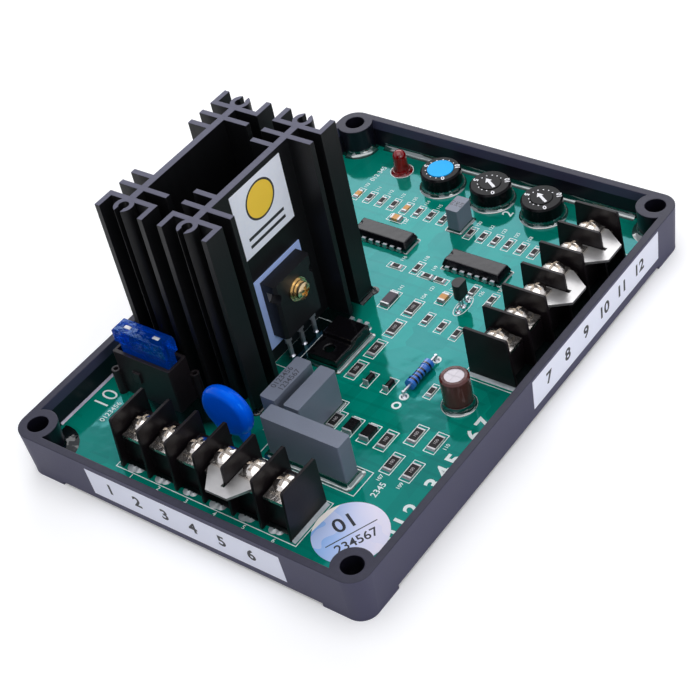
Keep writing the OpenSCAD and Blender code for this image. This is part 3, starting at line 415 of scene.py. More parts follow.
def add_text(bm, words, size, matrix, depth, weight=0.0):
    """Plain figures as a mesh, centred and laid where the matrix says."""
    curve = bpy.data.curves.new("figures", "FONT")
    curve.body = words
    curve.size = size
    curve.extrude = depth / 2
    curve.offset = size * weight
    curve.align_x = "CENTER"
    curve.align_y = "CENTER"
    curve.resolution_u = 4
    holder = bpy.data.objects.new("figures", curve)
    mesh = bpy.data.meshes.new_from_object(holder)
    mesh.transform(matrix)
    bm.from_mesh(mesh)
    bpy.data.meshes.remove(mesh)
    bpy.data.objects.remove(holder)
    bpy.data.curves.remove(curve)


def make_object(name, bm, material):
    """Closes a bmesh into an object of the scene."""
    mesh = bpy.data.meshes.new(name)
    bm.to_mesh(mesh)
    bm.free()
    made = bpy.data.objects.new(name, mesh)
    made.data.materials.append(material)
    bpy.context.scene.collection.objects.link(made)
    return made


def make_piece(name, bm, material, body=ROOT, smooth_angle=40):
    """Closes a bmesh into a piece that rides on a body."""
    bmesh.ops.remove_doubles(bm, verts=list(bm.verts), dist=0.0005 * MM)
    bmesh.ops.recalc_face_normals(bm, faces=list(bm.faces))
    for edge in bm.edges:
        sharp = len(edge.link_faces) == 2 and edge.calc_face_angle(0) > math.radians(smooth_angle)
        edge.smooth = not sharp
    for face in bm.faces:
        face.smooth = True
    piece = make_object(name, bm, material)
    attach(piece, body)


def dress(material, *names):
    """Gives CAD nodes a finish."""
    for name in names:
        node = NODES[name]
        if not node.material_slots:
            node.data.materials.append(material)
        for slot in node.material_slots:
            slot.material = material


def solids_of(*names):
    """Low and high corners of each separate solid of some CAD nodes."""
    boxes = []
    for name in names:
        bm = bmesh.new()
        bm.from_mesh(NODES[name].data)
        bmesh.ops.remove_doubles(bm, verts=list(bm.verts), dist=0.002 * MM)
        waiting = set(bm.verts)
        found = []
        while waiting:
            reach = [waiting.pop()]
            solid = list(reach)
            while reach:
                near = {vert for edge in reach.pop().link_edges for vert in edge.verts} & waiting
                waiting -= near
                reach.extend(near)
                solid.extend(near)
            low = Vector(min(vert.co[i] for vert in solid) for i in range(3))
            high = Vector(max(vert.co[i] for vert in solid) for i in range(3))
            found.append((low, high))
        bm.free()
        boxes += sorted(found, key=lambda box: tuple(round(value / MM, 1) for value in box[0]))
    return boxes


def centre_of(name):
    low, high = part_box(name)
    return (Vector(low) + Vector(high)) / 2


def radius_of(name):
    low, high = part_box(name)
    return (high[0] - low[0]) / 2


def long_axis(low, high):
    return 0 if high[0] - low[0] > high[1] - low[1] else 1


def sides(low, high, corner=0.0, way=1):
    """Start, end and direction out of a box's front, right, back and left sides, at board level."""
    spots = ((low[0], low[1]), (high[0], low[1]), (high[0], high[1]), (low[0], high[1]))
    found = []
    for i, out in enumerate(((0, -1), (1, 0), (0, 1), (-1, 0))):
        start, end = (Vector((*spots[j % 4], BOARD_TOP)) for j in (i, i + 1))
        inset = (end - start).normalized() * corner
        found.append((start + inset, end - inset, Vector((*out, 0)) * way))
    return found


class RegulatorOperator(bpy.types.Operator):
    """Shared base of the dressing steps."""

    bl_options = {"REGISTER", "UNDO"}

    def execute(self, context):
        self.build(context.scene)
        return {"FINISHED"}


# Dressing steps


class REGULATOR_OT_tray(RegulatorOperator):
    """Gives the moulded tray its finish"""

    bl_idname = "regulator.tray"
    bl_label = "Dress Tray"

    def build(self, scene):
        finish = Finish("tray_plastic")
        colour = tuple(scene.regulator_finish.tray)
        cloud = finish.noise(60)
        spark = finish.noise(2400, detail=2.0)
        scuff = finish.noise(700, detail=5.0, stretch=(1, 1, 0.25))
        rim = finish.facing()[2] > 0.9
        shade = finish.mix(cloud, scaled(colour, 0.85), scaled(colour, 1.1))
        # Tops facing up are painted darker than the walls: painted shade.
        shade = finish.mix(rim, shade, scaled(colour, 0.25))
        shade = finish.mix(rim * scuff * 0.5, shade, scaled(colour, 0.8))
        x, y, z = finish.axes()
        inner = Vector(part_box("potting_resin")[1]) + Vector((0.3 * MM, 0.3 * MM, 0))
        # The inner walls below the rim are painted much darker: painted shade. They are also glossier.
        shaded_inner_walls = (abs(x) < inner.x) * (abs(y) < inner.y) * (z < TRAY_HIGH[2] - 0.05 * MM)
        shade = finish.mix(shaded_inner_walls, shade, scaled(colour, 0.11))
        gloss = 0.4 + 0.14 * cloud - 0.16 * shaded_inner_walls
        normal = finish.bump(spark * 0.7 + scuff * 0.3, 0.03 * MM, 0.4 * MM)
        dress(finish.surface(shade, gloss, Normal=normal, Specular_IOR_Level=0.3), "tray")


class REGULATOR_OT_board(RegulatorOperator):
    """Gives the circuit board and the resin their finish"""

    bl_idname = "regulator.board"
    bl_label = "Dress Board"

    def build(self, scene):
        colour = tuple(scene.regulator_finish.board)
        finish = Finish("board_mask")
        fields = finish.add(
            "ShaderNodeTexVoronoi", {"feature": "F1", "distance": "CHEBYCHEV"},
            {"Vector": finish.spot(), "Scale": 75.0, "Randomness": 0.8}, out="Color")
        cloud = finish.noise(45, detail=2.0)
        shade = finish.mix(cloud, scaled(colour, 0.92), scaled(colour, 1.1))
        shade = finish.mix(fields * 0.65, shade, scaled(colour, 0.45))
        for direction, area, pitch, edge, tone in (("X", 31, 38.0, 0.7, 0.6), ("Y", 43, 71.0, 0.9, 0.5)):
            wander = finish.noise(area, detail=1.0)
            wires = {
                "Vector": finish.spot(), "Scale": pitch, "Distortion": 2.5, "Detail": 0.0,
                "Detail Scale": 0.4}
            bands = finish.add(
                "ShaderNodeTexWave", {"wave_type": "BANDS", "bands_direction": direction}, wires, out="Fac")
            shade = finish.mix((bands > edge) * (wander > 0.52) * 0.3, shade, scaled(colour, tone))
        x, y = finish.axes()[:2]
        # Painted shade: dark ovals on the board beside the fuse holder and the right device.
        for spot, reach in PAINTED_SHADE_SPOTS:
            across = (x - spot[0] * MM) / (reach[0] * MM)
            along = (y - spot[1] * MM) / (reach[1] * MM)
            shade = finish.mix(2 - 2 * (across * across + along * along), shade, tint(4, 16, 14))
        ripple = finish.noise(55, detail=1.0) * 0.6 + finish.noise(190, detail=1.0) * 0.4
        board = finish.surface(
            shade, 0.06 + 0.04 * cloud, Normal=finish.bump(ripple, 0.2 * MM),
            Specular_Tint=(0.12, 0.85, 1.0, 1), IOR=1.7)
        dress(board, "circuit_board")
        bed = cast("resin_bed", 90, (8, 40, 36), (14, 70, 60), (0.04, 0.05), 0.05, ripple=140)
        dress(bed, "potting_resin")


class REGULATOR_OT_resin_edges(RegulatorOperator):
    """Makes the resin that creeps up the tray walls and the parts"""

    bl_idname = "regulator.resin_edges"
    bl_label = "Make Resin Edges"

    def build(self, scene):
        sizes = scene.regulator_resin
        self.steps = sizes.steps
        # The left wall's resin edge is pale: painted highlight.
        pale = cast("wall_highlight_resin", 150, (164, 160, 178), (218, 210, 230), (0.1, 0.1), 0.05, IOR=1.6)
        clear = cast("resin_edge", 220, (6, 46, 42), (10, 74, 64), (0.06, 0.08), 0.12, ripple=260, IOR=2.6)
        # Pale resin of the terminal edges and pools: painted highlight.
        painted_pool_highlight = cast("pool_highlight_resin", 400, (120, 132, 136), (196, 202, 206), (0.12, 0.1), 0.15, IOR=1.9)
        # Dark edges, and dark sheets of painted shade in the terminals' pockets.
        dark = cast("dark_edges_and_painted_shade", 260, (6, 12, 13), (10, 20, 20), (0.05, 0.06), 0.25)
        red = cast(
            "red_resin", 500, (70, 0, 2), (150, 0, 2), (0.08, 0.06), 0.15, detail=1.0, Coat_Weight=0.5,
            Coat_Roughness=0.03, Specular_IOR_Level=0.3)
        for name, fill, material in (
            ("wall_highlight_resin", self.on_left_wall, pale),
            ("resin_edges", self.clear_edges, clear),
            ("terminal_highlight_pools", self.cloudy_pools, painted_pool_highlight),
            ("dark_edges_and_painted_shade", self.dark_pools, dark),
        ):
            bm = bmesh.new()
            fill(bm, sizes)
            make_piece(name, bm, material, smooth_angle=75)
        bm = bmesh.new()
        inset, rise, run = 0.68 * MM, 3.4 * MM, 1.3 * MM
        inner = radius_of("indicator_lamp") - inset
        self.round_edge(bm, centre_of("indicator_lamp"), inner, rise, run, hollow=0.85)
        make_piece("lamp_resin", bm, red)

    def on_left_wall(self, bm, sizes):
        """A thin edge on the left wall, pale with a painted highlight."""
        left = sides(*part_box("potting_resin"), CORNER, -1)[3]
        self.straight_edge(bm, *left, sizes.wall_rise * 0.3, sizes.wall_run * 0.35, hollow=0.2)

    def clear_edges(self, bm, sizes):
        """Edges on the other walls, the two bosses at the back, round parts and boxes."""
        for side in sides(*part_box("potting_resin"), CORNER, -1)[:3]:
            self.straight_edge(bm, *side, sizes.wall_rise, sizes.wall_run)
        hole = (TRAY_HIGH[0] - HOLE_INSET, TRAY_HIGH[1] - HOLE_INSET)
        for side, start in ((1, 172), (-1, 262)):
            spot = (side * hole[0], hole[1])
            self.round_edge(
                bm, spot, BOSS, sizes.wall_rise, sizes.wall_run, start, BOSS_SWEEP, BOSS_STEPS)
        for name in (*(f"{side}_trimmer_body" for side in DIALS), "electrolytic_sleeve"):
            self.round_edge(bm, centre_of(name), radius_of(name), sizes.post_rise, sizes.post_run)
        rise, run = sizes.part_rise, sizes.part_run
        for name, higher, wider in (
            ("large_film_capacitor", 1.8, 1.8),
            ("inner_film_capacitor", 1, 1),
            ("outer_film_capacitor", 1, 1),
            ("small_film_capacitor", 1, 1),
            ("flat_transistor", 1.4, 1.4),
            ("left_logic_chip", 0.55, 0.7),
            ("right_logic_chip", 0.55, 0.7),
        ):
            for i, side in enumerate(sides(*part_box(name))):
                self.straight_edge(bm, *side, rise * higher, run * wider)
                self.round_edge(bm, side[1], 0.02 * MM, rise * higher, run * wider, 270 + 90 * i, 90, 6)
        for low, high in solids_of("varistor_leads"):
            self.round_edge(bm, (low + high) / 2, (high.x - low.x) / 2, rise * 2, run * 1.2)

    def cloudy_pools(self, bm, sizes):
        """Edges at the ends of each terminal row, and uneven pools in the front pockets' mouths, both pale
        with a painted highlight.
        """
        for row, picks in (("front", (1, 3)), ("side", (0, 2))):
            found = sides(*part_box(f"{row}_terminal_block"))
            for pick in picks:
                self.straight_edge(bm, *found[pick], sizes.part_rise, sizes.part_run, hollow=0.3)
        low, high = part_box("front_terminal_block")
        pitch = (high[0] - low[0] - FIN) / WAYS
        for i in range(WAYS):
            for across, widest in ((0.32, 1.6), (0.5, 1.2)):
                spot = (low[0] + FIN / 2 + (i + across) * pitch, low[1] + MOUTH)
                run = (widest - 0.2 * (i % 3)) * MM
                self.round_edge(bm, spot, POOL_CORE, sizes.part_rise * 0.6, run, 180, 180, 20, hollow=0.2)

    def dark_pools(self, bm, sizes):
        """Dark edges at the right heatsink's feet and at the front left boss, and dark sheets of painted
        shade beside the terminals' seats.
        """
        rise, run = sizes.part_rise, sizes.part_run
        low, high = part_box("right_heatsink")
        for near, far in ((low[1], low[1] + LIP), (high[1] - LIP, high[1])):
            start, end = ((high[0], y, BOARD_TOP) for y in (near, far))
            self.straight_edge(bm, start, end, (1, 0, 0), rise * 2, run * 1.4)
        for x, y, higher, wider in (
            (low[0], low[1], 1.6, 1.3), (high[0], low[1], 1.6, 1.3), (high[0], high[1], 2.2, 1.8),
        ):
            self.round_edge(bm, (x, y), 0.3 * MM, rise * higher, run * wider)
        # Dark sheets over the pockets of both terminal rows: painted shade.
        top, bevel = BOARD_TOP + sizes.pool, sizes.pool * 0.3
        low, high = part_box("front_terminal_block")
        add_block(bm, (low[0], low[1] + MOUTH, BOARD_TOP), (high[0], low[1] + POCKET, top), bevel)
        low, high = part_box("side_terminal_block")
        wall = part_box("potting_resin")[1][0]
        add_block(bm, (high[0] - POCKET, low[1], BOARD_TOP), (wall, high[1], top), bevel)
        boss = (TRAY_LOW[0] + HOLE_INSET, TRAY_LOW[1] + HOLE_INSET)
        self.round_edge(bm, boss, BOSS, rise * 1.6, run * 4.2, -8, BOSS_SWEEP, BOSS_STEPS)

    def outline(self, bm, foot, out, rise, run, hollow):
        """Closed loop of a hollow or straight slope from a wall to the board; out points from the wall."""
        spots = []
        for i in range(self.steps + 1):
            share = i / self.steps
            angle = math.pi / 2 * share
            along = run * (hollow * (1 - math.cos(angle)) + (1 - hollow) * share)
            up = rise * (hollow * (1 - math.sin(angle)) + (1 - hollow) * (1 - share))
            spots.append(foot + out * along + Vector((0, 0, up)))
        spots.append(foot - out * run * 0.1)
        verts = [bm.verts.new(spot) for spot in spots]
        return [bm.edges.new(pair) for pair in zip(verts, verts[1:] + verts[:1])]

    def straight_edge(self, bm, start, end, out, rise, run, hollow=1.0):
        """A resin edge along a straight wall."""
        start, end, out = Vector(start), Vector(end), Vector(out)
        loop = self.outline(bm, start, out, rise, run, hollow)
        made = bmesh.ops.contextual_create(bm, geom=loop)
        sweep_faces(bm, made["faces"], end - start)

    def round_edge(self, bm, centre, radius, rise, run, start=0.0, sweep=360.0, steps=40, hollow=1.0):
        """A resin edge round a post, or round a part of it."""
        heading = Vector((math.cos(math.radians(start)), math.sin(math.radians(start)), 0))
        middle = Vector((centre[0], centre[1], BOARD_TOP))
        loop = self.outline(bm, middle + heading * radius, heading, rise, run, hollow)
        whole = sweep >= 360
        made = bmesh.ops.spin(
            bm, geom=loop, cent=middle, axis=(0, 0, 1), angle=math.radians(sweep), steps=steps,
            use_merge=whole)
        if not whole:
            for end in (loop, only(bmesh.types.BMEdge, made["geom_last"])):
                bmesh.ops.contextual_create(bm, geom=end)


class REGULATOR_OT_print(RegulatorOperator):
    """Makes the white print and the solder on the board"""

    bl_idname = "regulator.print"
    bl_label = "Make Board Print"

    def build(self, scene):
        sizes = scene.regulator_print
        level = BOARD_TOP + HAIR
        bm = bmesh.new()
        for low, high in self.boxes(sizes):
            add_outline(bm, low, high, sizes.line, level)
        for name in ("electrolytic_sleeve", "indicator_lamp"):
            add_ring(bm, centre_of(name), radius_of(name) + 0.9 * MM, sizes.line, level)
        add_ring(bm, centre_of("small_transistor_leads"), 2.0 * MM, sizes.line, level, oval=2.2)
        for spot in self.axial_pads():
            add_ring(bm, spot, 1.35 * MM, 0.6 * MM, level)
        thicken(bm, sizes.thickness)
        self.numbers(bm, level, sizes.thickness)
        ink = moulded("white_ink", tint(226, 236, 236), 0.35, mottle=0.06)
        make_piece("board_print", bm, ink)
        self.solder(sizes)

    @staticmethod
    def numbers(bm, level, depth):
        """Plain numbers beside the chip parts, before each terminal way and along the edges."""
        chips = solids_of(*CHIPS)
        taken = [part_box(name) for name in NODES if name not in ("tray", "potting_resin", "circuit_board")]
        taken = [box for box in taken if box[1][0] - box[0][0] < 40 * MM] + chips
        across, along, gap, side_gap = 0.8 * MM, 1.7 * MM, 3.0 * MM, 1.9 * MM
        for count, (low, high) in enumerate(chips, 101):
            middle = (low + high) / 2
            for x, y in ((middle.x, high.y + gap), (middle.x, low.y - gap), (high.x + side_gap, middle.y)):
                if not any(a[0] - across < x < b[0] + across and a[1] - along < y < b[1] + along
                           for a, b in taken):
                    where = place(shift(x, y, level), turn(90))
                    add_text(bm, str(count), CHIP_FIGURE, where, depth, 0.01)
                    taken.append(((x, y - along), (x, y + along)))
                    break
        low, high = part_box("front_terminal_block")
        for i in range(WAYS):
            x = low[0] + (i + 0.5) * (high[0] - low[0]) / WAYS
            add_text(bm, str(i + 1), WAY_FIGURE, shift(x, low[1] - 1.7 * MM, level), depth, 0.01)
        for words, size, x, y, weight in BOARD_FIGURES:
            where = place(shift(x * MM, y * MM, level), turn(90))
            add_text(bm, words, size * MM, where, depth, weight)

    def axial_pads(self):
        """Both feet of the axial resistor and the spare pad beyond them."""
        name = "axial_resistor_leads"
        spots = [((low.x + high.x) / 2, self.foot(name, low, high)) for low, high in solids_of(name)]
        return (*spots, (spots[0][0], spots[0][1] - 3.6 * MM))

    @staticmethod
    def boxes(sizes):
        """Corners of the printed outlines."""
        found = []
        for low, high in solids_of(*CHIPS):
            margin = [sizes.margin, sizes.end_margin]
            if long_axis(low, high) == 0:
                margin.reverse()
            found.append((low, high, *margin))
        for name, x, y in (
            ("large_film_capacitor", 3.2, 2.0),
            ("inner_film_capacitor", 1.2, 1.2),
            ("outer_film_capacitor", 1.2, 1.2),
            ("front_terminal_block", 1.6, 0.7),
            ("side_terminal_block", 1.6, 1.8),
            ("right_device_leads", 2.6, 4.0),
        ):
            found.append((*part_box(name), x * MM, y * MM))
        return [((low[0] - x, low[1] - y), (high[0] + x, high[1] + y)) for low, high, x, y in found]

    @staticmethod
    def foot(name, low, high):
        """Where a bent lead meets the board, along Y."""
        side = (low.y + high.y) / 2 - centre_of(name).y
        if abs(side) < 0.2 * MM:
            return (low.y + high.y) / 2
        return low.y + LEAD_HALF if side < 0 else high.y - LEAD_HALF

    def solder(self, sizes):
        """Domed solder on every lead, and sloping solder at the chips' ends."""
        dome = 0.4 * MM
        bm = bmesh.new()
        for name in ("axial_resistor_leads", "varistor_leads", "left_device_leads", "right_device_leads",
                     "flat_transistor_leads", "small_transistor_leads"):
            for low, high in solids_of(name):
                middle = (low + high) / 2
                if name in ("axial_resistor_leads", "small_transistor_leads"):
                    middle.y = self.foot(name, low, high)
                if name == "flat_transistor_leads":
                    middle.y = high.y - LEAD_HALF
                bmesh.ops.create_cone(
                    bm, cap_ends=True, segments=24, radius1=PAD_RADIUS + sizes.pad_margin, radius2=0.45 * MM,
                    depth=dome, matrix=shift(middle.x, middle.y, BOARD_TOP + dome / 2))
        metal = plated("bright_solder", tint(205, 206, 212), 0.24, scratch=1500)
        make_piece("solder", bm, metal)
        bm = bmesh.new()
        for low, high in solids_of(*CHIPS):
            self.fillets(bm, low, high, sizes.pad_length)
        tin = plated("dull_solder", tint(178, 180, 184), 0.32, scratch=1800, metallic=0.8)
        make_piece("chip_solder", bm, tin)

    @staticmethod
    def fillets(bm, low, high, reach):
        """Sloping solder at both ends of a chip."""
        axis = long_axis(low, high)
        top = BOARD_TOP + (high.z - BOARD_TOP) * 0.75
        for side, end in ((-1, low[axis]), (1, high[axis])):
            spots = []
            for across in (low[1 - axis], high[1 - axis]):
                for along, up in ((end, BOARD_TOP), (end, top), (end + side * reach, BOARD_TOP)):
                    spots.append((along, across, up) if axis == 0 else (across, along, up))
            bmesh.ops.convex_hull(bm, input=[bm.verts.new(spot) for spot in spots])


class REGULATOR_OT_chip_ends(RegulatorOperator):
    """Makes the plated ends of the chip parts and dresses their bodies"""

    bl_idname = "regulator.chip_ends"
    bl_label = "Make Chip Ends"

    def build(self, scene):
        ends, coats, marks = bmesh.new(), bmesh.new(), bmesh.new()
        for name, share in zip(CHIPS, (0.1, 0.16, 0.2, 0.08, 0.1)):
            for low, high in solids_of(name):
                self.cap(ends, low, high, share)
                if name.endswith("resistors"):
                    self.coat(coats, low, high, share)
                if name == "large_chip_resistors":
                    where = shift((low.x + high.x) / 2, (low.y + high.y) / 2, high.z + COAT + HAIR)
                    add_text(marks, "100", 1.3 * MM, place(where, turn(90)), HAIR)
        metal = plated("tinned_ends", tint(196, 194, 196), 0.4, scratch=1800, metallic=0.7)
        ink = moulded("chip_ink", tint(176, 170, 172), 0.5)
        black = moulded("chip_coat", tint(22, 20, 22), 0.5, grain=4000, Specular_IOR_Level=0.2)
        make_piece("chip_ends", ends, metal)
        make_piece("chip_marks", marks, ink)
        make_piece("chip_coats", coats, black)
        ceramic = moulded("chip_ceramic", tint(206, 204, 200), 0.5, grain=4000)
        dress(ceramic, "large_chip_resistors", "small_chip_resistors")
        dress(moulded("chip_tan", tint(208, 150, 80), 0.5, grain=4000), "chip_capacitors")
        grey = moulded("chip_grey", tint(70, 62, 72), 0.4, grain=3000, Specular_IOR_Level=0.2)
        dress(grey, "tantalum_capacitor")
        diode = moulded("diode_black", tint(16, 15, 17), 0.2, grain=700, depth=0.05, Specular_IOR_Level=0.2)
        dress(diode, "chip_diodes")

    @staticmethod
    def coat(bm, low, high, share):
        """Black coat on top of a chip, between its plated ends."""
        axis = long_axis(low, high)
        margin = Vector((0.12 * MM, 0.12 * MM, 0))
        margin[axis] = (high[axis] - low[axis]) * share
        start, end = low + margin, high - margin
        start.z, end.z = high.z, high.z + COAT
        add_block(bm, start, end, 0.02 * MM, 1)

    @staticmethod
    def cap(bm, low, high, share):
        """Plated sleeves over both ends of a chip."""
        axis = long_axis(low, high)
        depth = (high[axis] - low[axis]) * share
        for far in (False, True):
            start = low - Vector((CHIP_SKIN, CHIP_SKIN, 0))
            end = high + Vector((CHIP_SKIN, CHIP_SKIN, CHIP_SKIN))
            if far:
                start[axis] = high[axis] - depth
            else:
                end[axis] = low[axis] + depth
            add_block(bm, start, end, 0.05 * MM, 1)


class REGULATOR_OT_heatsinks(RegulatorOperator):
    """Gives the heatsinks, pads, devices, leads and their screws their finish"""

    bl_idname = "regulator.heatsinks"
    bl_label = "Dress Heatsinks"

    def build(self, scene):
        colour = tuple(scene.regulator_finish.extrusion)
        finish = Finish("black_anodised")
        drawn = finish.noise(1500, detail=3.0, stretch=(1, 1, 0.012))
        sawn = finish.noise(1400, detail=3.0, stretch=(0.15, 1, 1))
        top = finish.axes()[2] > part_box("left_heatsink")[1][2] - 0.05 * MM
        shade = finish.mix(drawn, scaled(colour, 0.8), scaled(colour, 1.2))
        shade = finish.mix(top, shade, finish.mix(sawn, tint(68, 68, 86), tint(92, 92, 112)))
        gloss = 0.34 + 0.12 * drawn + 0.1 * top
        normal = finish.bump(drawn * (1 - top) + sawn * top, 0.025 * MM, 0.15 * MM)
        black = finish.surface(shade, gloss, Normal=normal, Specular_IOR_Level=0.3)
        pad = moulded("silicone_pad", tint(176, 200, 255), 0.6, grain=1800)
        brass = plated("turned_brass", tint(232, 206, 160), 0.2, depth=0.02)
        tinned = plated("tinned_lead", tint(214, 215, 220), 0.42, stretch=(1, 1, 0.1))
        for side in ("left", "right"):
            dress(black, f"{side}_heatsink")
            dress(pad, f"{side}_insulating_pad")
            dress(self.device(side), f"{side}_power_device")
            dress(tinned, f"{side}_device_leads", f"{side}_chip_pins")
            dress(brass, f"{side}_device_screw")
        dress(tinned, "varistor_leads", "small_transistor_leads", "flat_transistor_leads",
              "axial_resistor_leads", "fuse_clips")
        dress(plated("plated_steel", tint(190, 190, 192), 0.3), "heatsink_screws")

    @staticmethod
    def device(side):
        """Black moulding whose side notches show the metal back."""
        finish = Finish(f"{side}_device_moulding")
        low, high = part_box(f"{side}_power_device")
        x, y = finish.axes()[:2]
        notch = abs(y - (low[1] + high[1]) / 2) > (high[1] - low[1]) / 2 - 1.75 * MM
        notch = notch * (x < low[0] + 1.8 * MM) * (finish.facing()[0] > 0.9)
        spark = finish.noise(2200, detail=2.0)
        cloud = finish.noise(120)
        shade = finish.mix(cloud, tint(19, 19, 22), tint(25, 25, 28))
        shade = finish.mix(notch, shade, tint(200, 200, 206))
        normal = finish.bump(spark, 0.02 * MM)
        return finish.surface(
            shade, 0.36 + 0.12 * cloud, Metallic=notch, Normal=normal, Specular_IOR_Level=0.3)


class REGULATOR_OT_terminals(RegulatorOperator):
    """Gives the terminal blocks, plates, washers, screws and jumpers their finish"""

    bl_idname = "regulator.terminals"
    bl_label = "Dress Terminals"

    def build(self, scene):
        black = moulded(
            "terminal_plastic", tuple(scene.regulator_finish.black_plastic), 0.36, grain=1900, depth=0.02,
            rounded=0.2, Specular_IOR_Level=0.22)
        nickel = plated("nickel_plate", tint(230, 223, 214), 0.16, scratch=700, depth=0.16)
        polish = plated("polished_nickel", tint(208, 206, 204), 0.34, scratch=500, metallic=0.85)
        for row in ("front", "side"):
            dress(black, f"{row}_terminal_block")
            dress(nickel, f"{row}_terminal_plates", f"{row}_terminal_washers", f"{row}_terminal_screws")
        dress(polish, "front_jumper", "side_jumpers")


class REGULATOR_OT_fuse(RegulatorOperator):
    """Gives the fuse and its holder their finish"""

    bl_idname = "regulator.fuse"
    bl_label = "Dress Fuse"

    def build(self, scene):
        colour = tuple(scene.regulator_finish.fuse)
        finish = Finish("fuse_plastic")
        flow = finish.noise(260, detail=2.0)
        swirl = finish.noise(620, detail=2.0)
        low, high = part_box("blade_fuse_body")
        far = (finish.axes()[0] - low[0]) / (high[0] - low[0])
        # Darker towards the far end: painted shade.
        shade = finish.mix(flow * 0.5 + far * 0.7, colour, scaled(colour, 0.4))
        # The emission is a painted glow; the fuse is no lamp.
        glow = finish.mix(flow, (0, 0.002, 0.015), (0, 0.014, 0.055))
        clear = finish.surface(
            shade, 0.03 + 0.03 * flow, Normal=finish.bump(swirl, 0.28 * MM, 0.4 * MM),
            Transmission_Weight=0.85, IOR=1.5, Specular_Tint=(0.2, 0.6, 1.0, 1), Emission_Color=glow,
            Emission_Strength=1.0)
        dress(clear, "blade_fuse_body")
        dress(plated("fuse_strip", tint(216, 218, 224), 0.22), "blade_fuse_element")
        holder = moulded(
            "holder_plastic", tint(30, 25, 28), 0.42, grain=1700, depth=0.025, rounded=0.3,
            Specular_IOR_Level=0.25)
        dress(holder, "fuse_holder")
        self.contacts(high[2] - 0.04 * MM)

    @staticmethod
    def contacts(top):
        """Test contacts that fill the windows in the top of the fuse."""
        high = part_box("blade_fuse_element")[1]
        middle = centre_of("blade_fuse_element")
        half = Vector((WINDOW[0] / 2, WINDOW[1] / 2))
        bm = bmesh.new()
        for side in (-1, 1):
            x = middle.x + side * (radius_of("blade_fuse_element") - BLADE / 2)
            add_block(bm, (x - half.x, middle.y - half.y, high[2] + 0.02 * MM),
                      (x + half.x, middle.y + half.y, top), 0.1 * MM)
        metal = plated("fuse_contact", tint(236, 237, 240), 0.5, metallic=0.5)
        make_piece("fuse_contacts", bm, metal)


class REGULATOR_OT_capacitors(RegulatorOperator):
    """Gives the varistor and the capacitors their finish"""

    bl_idname = "regulator.capacitors"
    bl_label = "Dress Capacitors"

    def build(self, scene):
        grey = tuple(scene.regulator_finish.capacitor)
        dress(moulded("capacitor_box", grey, 0.42, grain=1600, depth=0.02),
              "large_film_capacitor", "inner_film_capacitor", "outer_film_capacitor", "small_film_capacitor")
        finish = Finish("dipped_blue")
        colour = tuple(scene.regulator_finish.varistor)
        dip = finish.noise(170, detail=2.0)
        peel = finish.noise(900, detail=1.0)
        shade = finish.mix(dip, scaled(colour, 0.85), colour)
        # The emission is a painted glow; the varistor is no lamp.
        glow = finish.mix(dip, (0, 0.004, 0.025), (0, 0.008, 0.045))
        blue = finish.surface(
            shade, 0.12 + 0.1 * dip, Normal=finish.bump(peel * 0.4 + dip, 0.12 * MM), Emission_Color=glow,
            Emission_Strength=1.0, Specular_IOR_Level=0.35, Specular_Tint=(0.05, 0.5, 1.0, 1))
        dress(blue, "varistor")
        self.marks()
        dress(self.can(), "electrolytic_can")
        dress(self.sleeve(), "electrolytic_sleeve")

    @staticmethod
    def marks():
        """Rows of plain figures on two of the film capacitors."""
        bm = bmesh.new()
        for name, rows, size in (
            ("inner_film_capacitor", ("0123456", "1234567"), 2.4),
            ("small_film_capacitor", ("012", "345", "678"), 1.5),
        ):
            middle, top = centre_of(name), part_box(name)[1][2]
            for i, words in enumerate(rows):
                across = (i - (len(rows) - 1) / 2) * size * MM
                where = place(shift(middle.x + across, middle.y, top + HAIR), turn(90))
                add_text(bm, words, size * MM, where, HAIR, 0.01)
        ink = moulded("capacitor_ink", tint(62, 64, 74), 0.5)
        make_piece("capacitor_marks", bm, ink)

    @staticmethod
    def can():
        """Drawn aluminium with a crossed score on its top."""
        finish = Finish("drawn_can")
        x, y = finish.axes()[:2]
        middle = centre_of("electrolytic_can")
        score = (abs(x - middle.x) < 0.12 * MM) + (abs(y - middle.y) < 0.12 * MM)
        lines = finish.noise(900, detail=4.0)
        shade = finish.mix(lines, tint(168, 162, 168), tint(190, 186, 190))
        shade = finish.mix(score * 0.35, shade, tint(150, 146, 150))
        normal = finish.bump(1 - score, 0.05 * MM)
        return finish.surface(shade, 0.34 + 0.12 * lines, Metallic=0.75, Normal=normal)

    @staticmethod
    def sleeve():
        """Shrunk sleeve with one pale stripe down its side."""
        finish = Finish("shrunk_sleeve")
        x, y, z = finish.axes()
        middle = centre_of("electrolytic_sleeve")
        stripe = (abs(x - middle.x) < 1.2 * MM) * (y > middle.y) * (z < 16 * MM)
        film = finish.noise(300, detail=2.0, stretch=(1, 1, 0.3))
        shade = finish.mix(film, tint(70, 31, 30), tint(98, 50, 46))
        shade = finish.mix(stripe, shade, tint(190, 170, 160))
        return finish.surface(shade, 0.1 + 0.08 * film, Normal=finish.bump(film, 0.06 * MM))


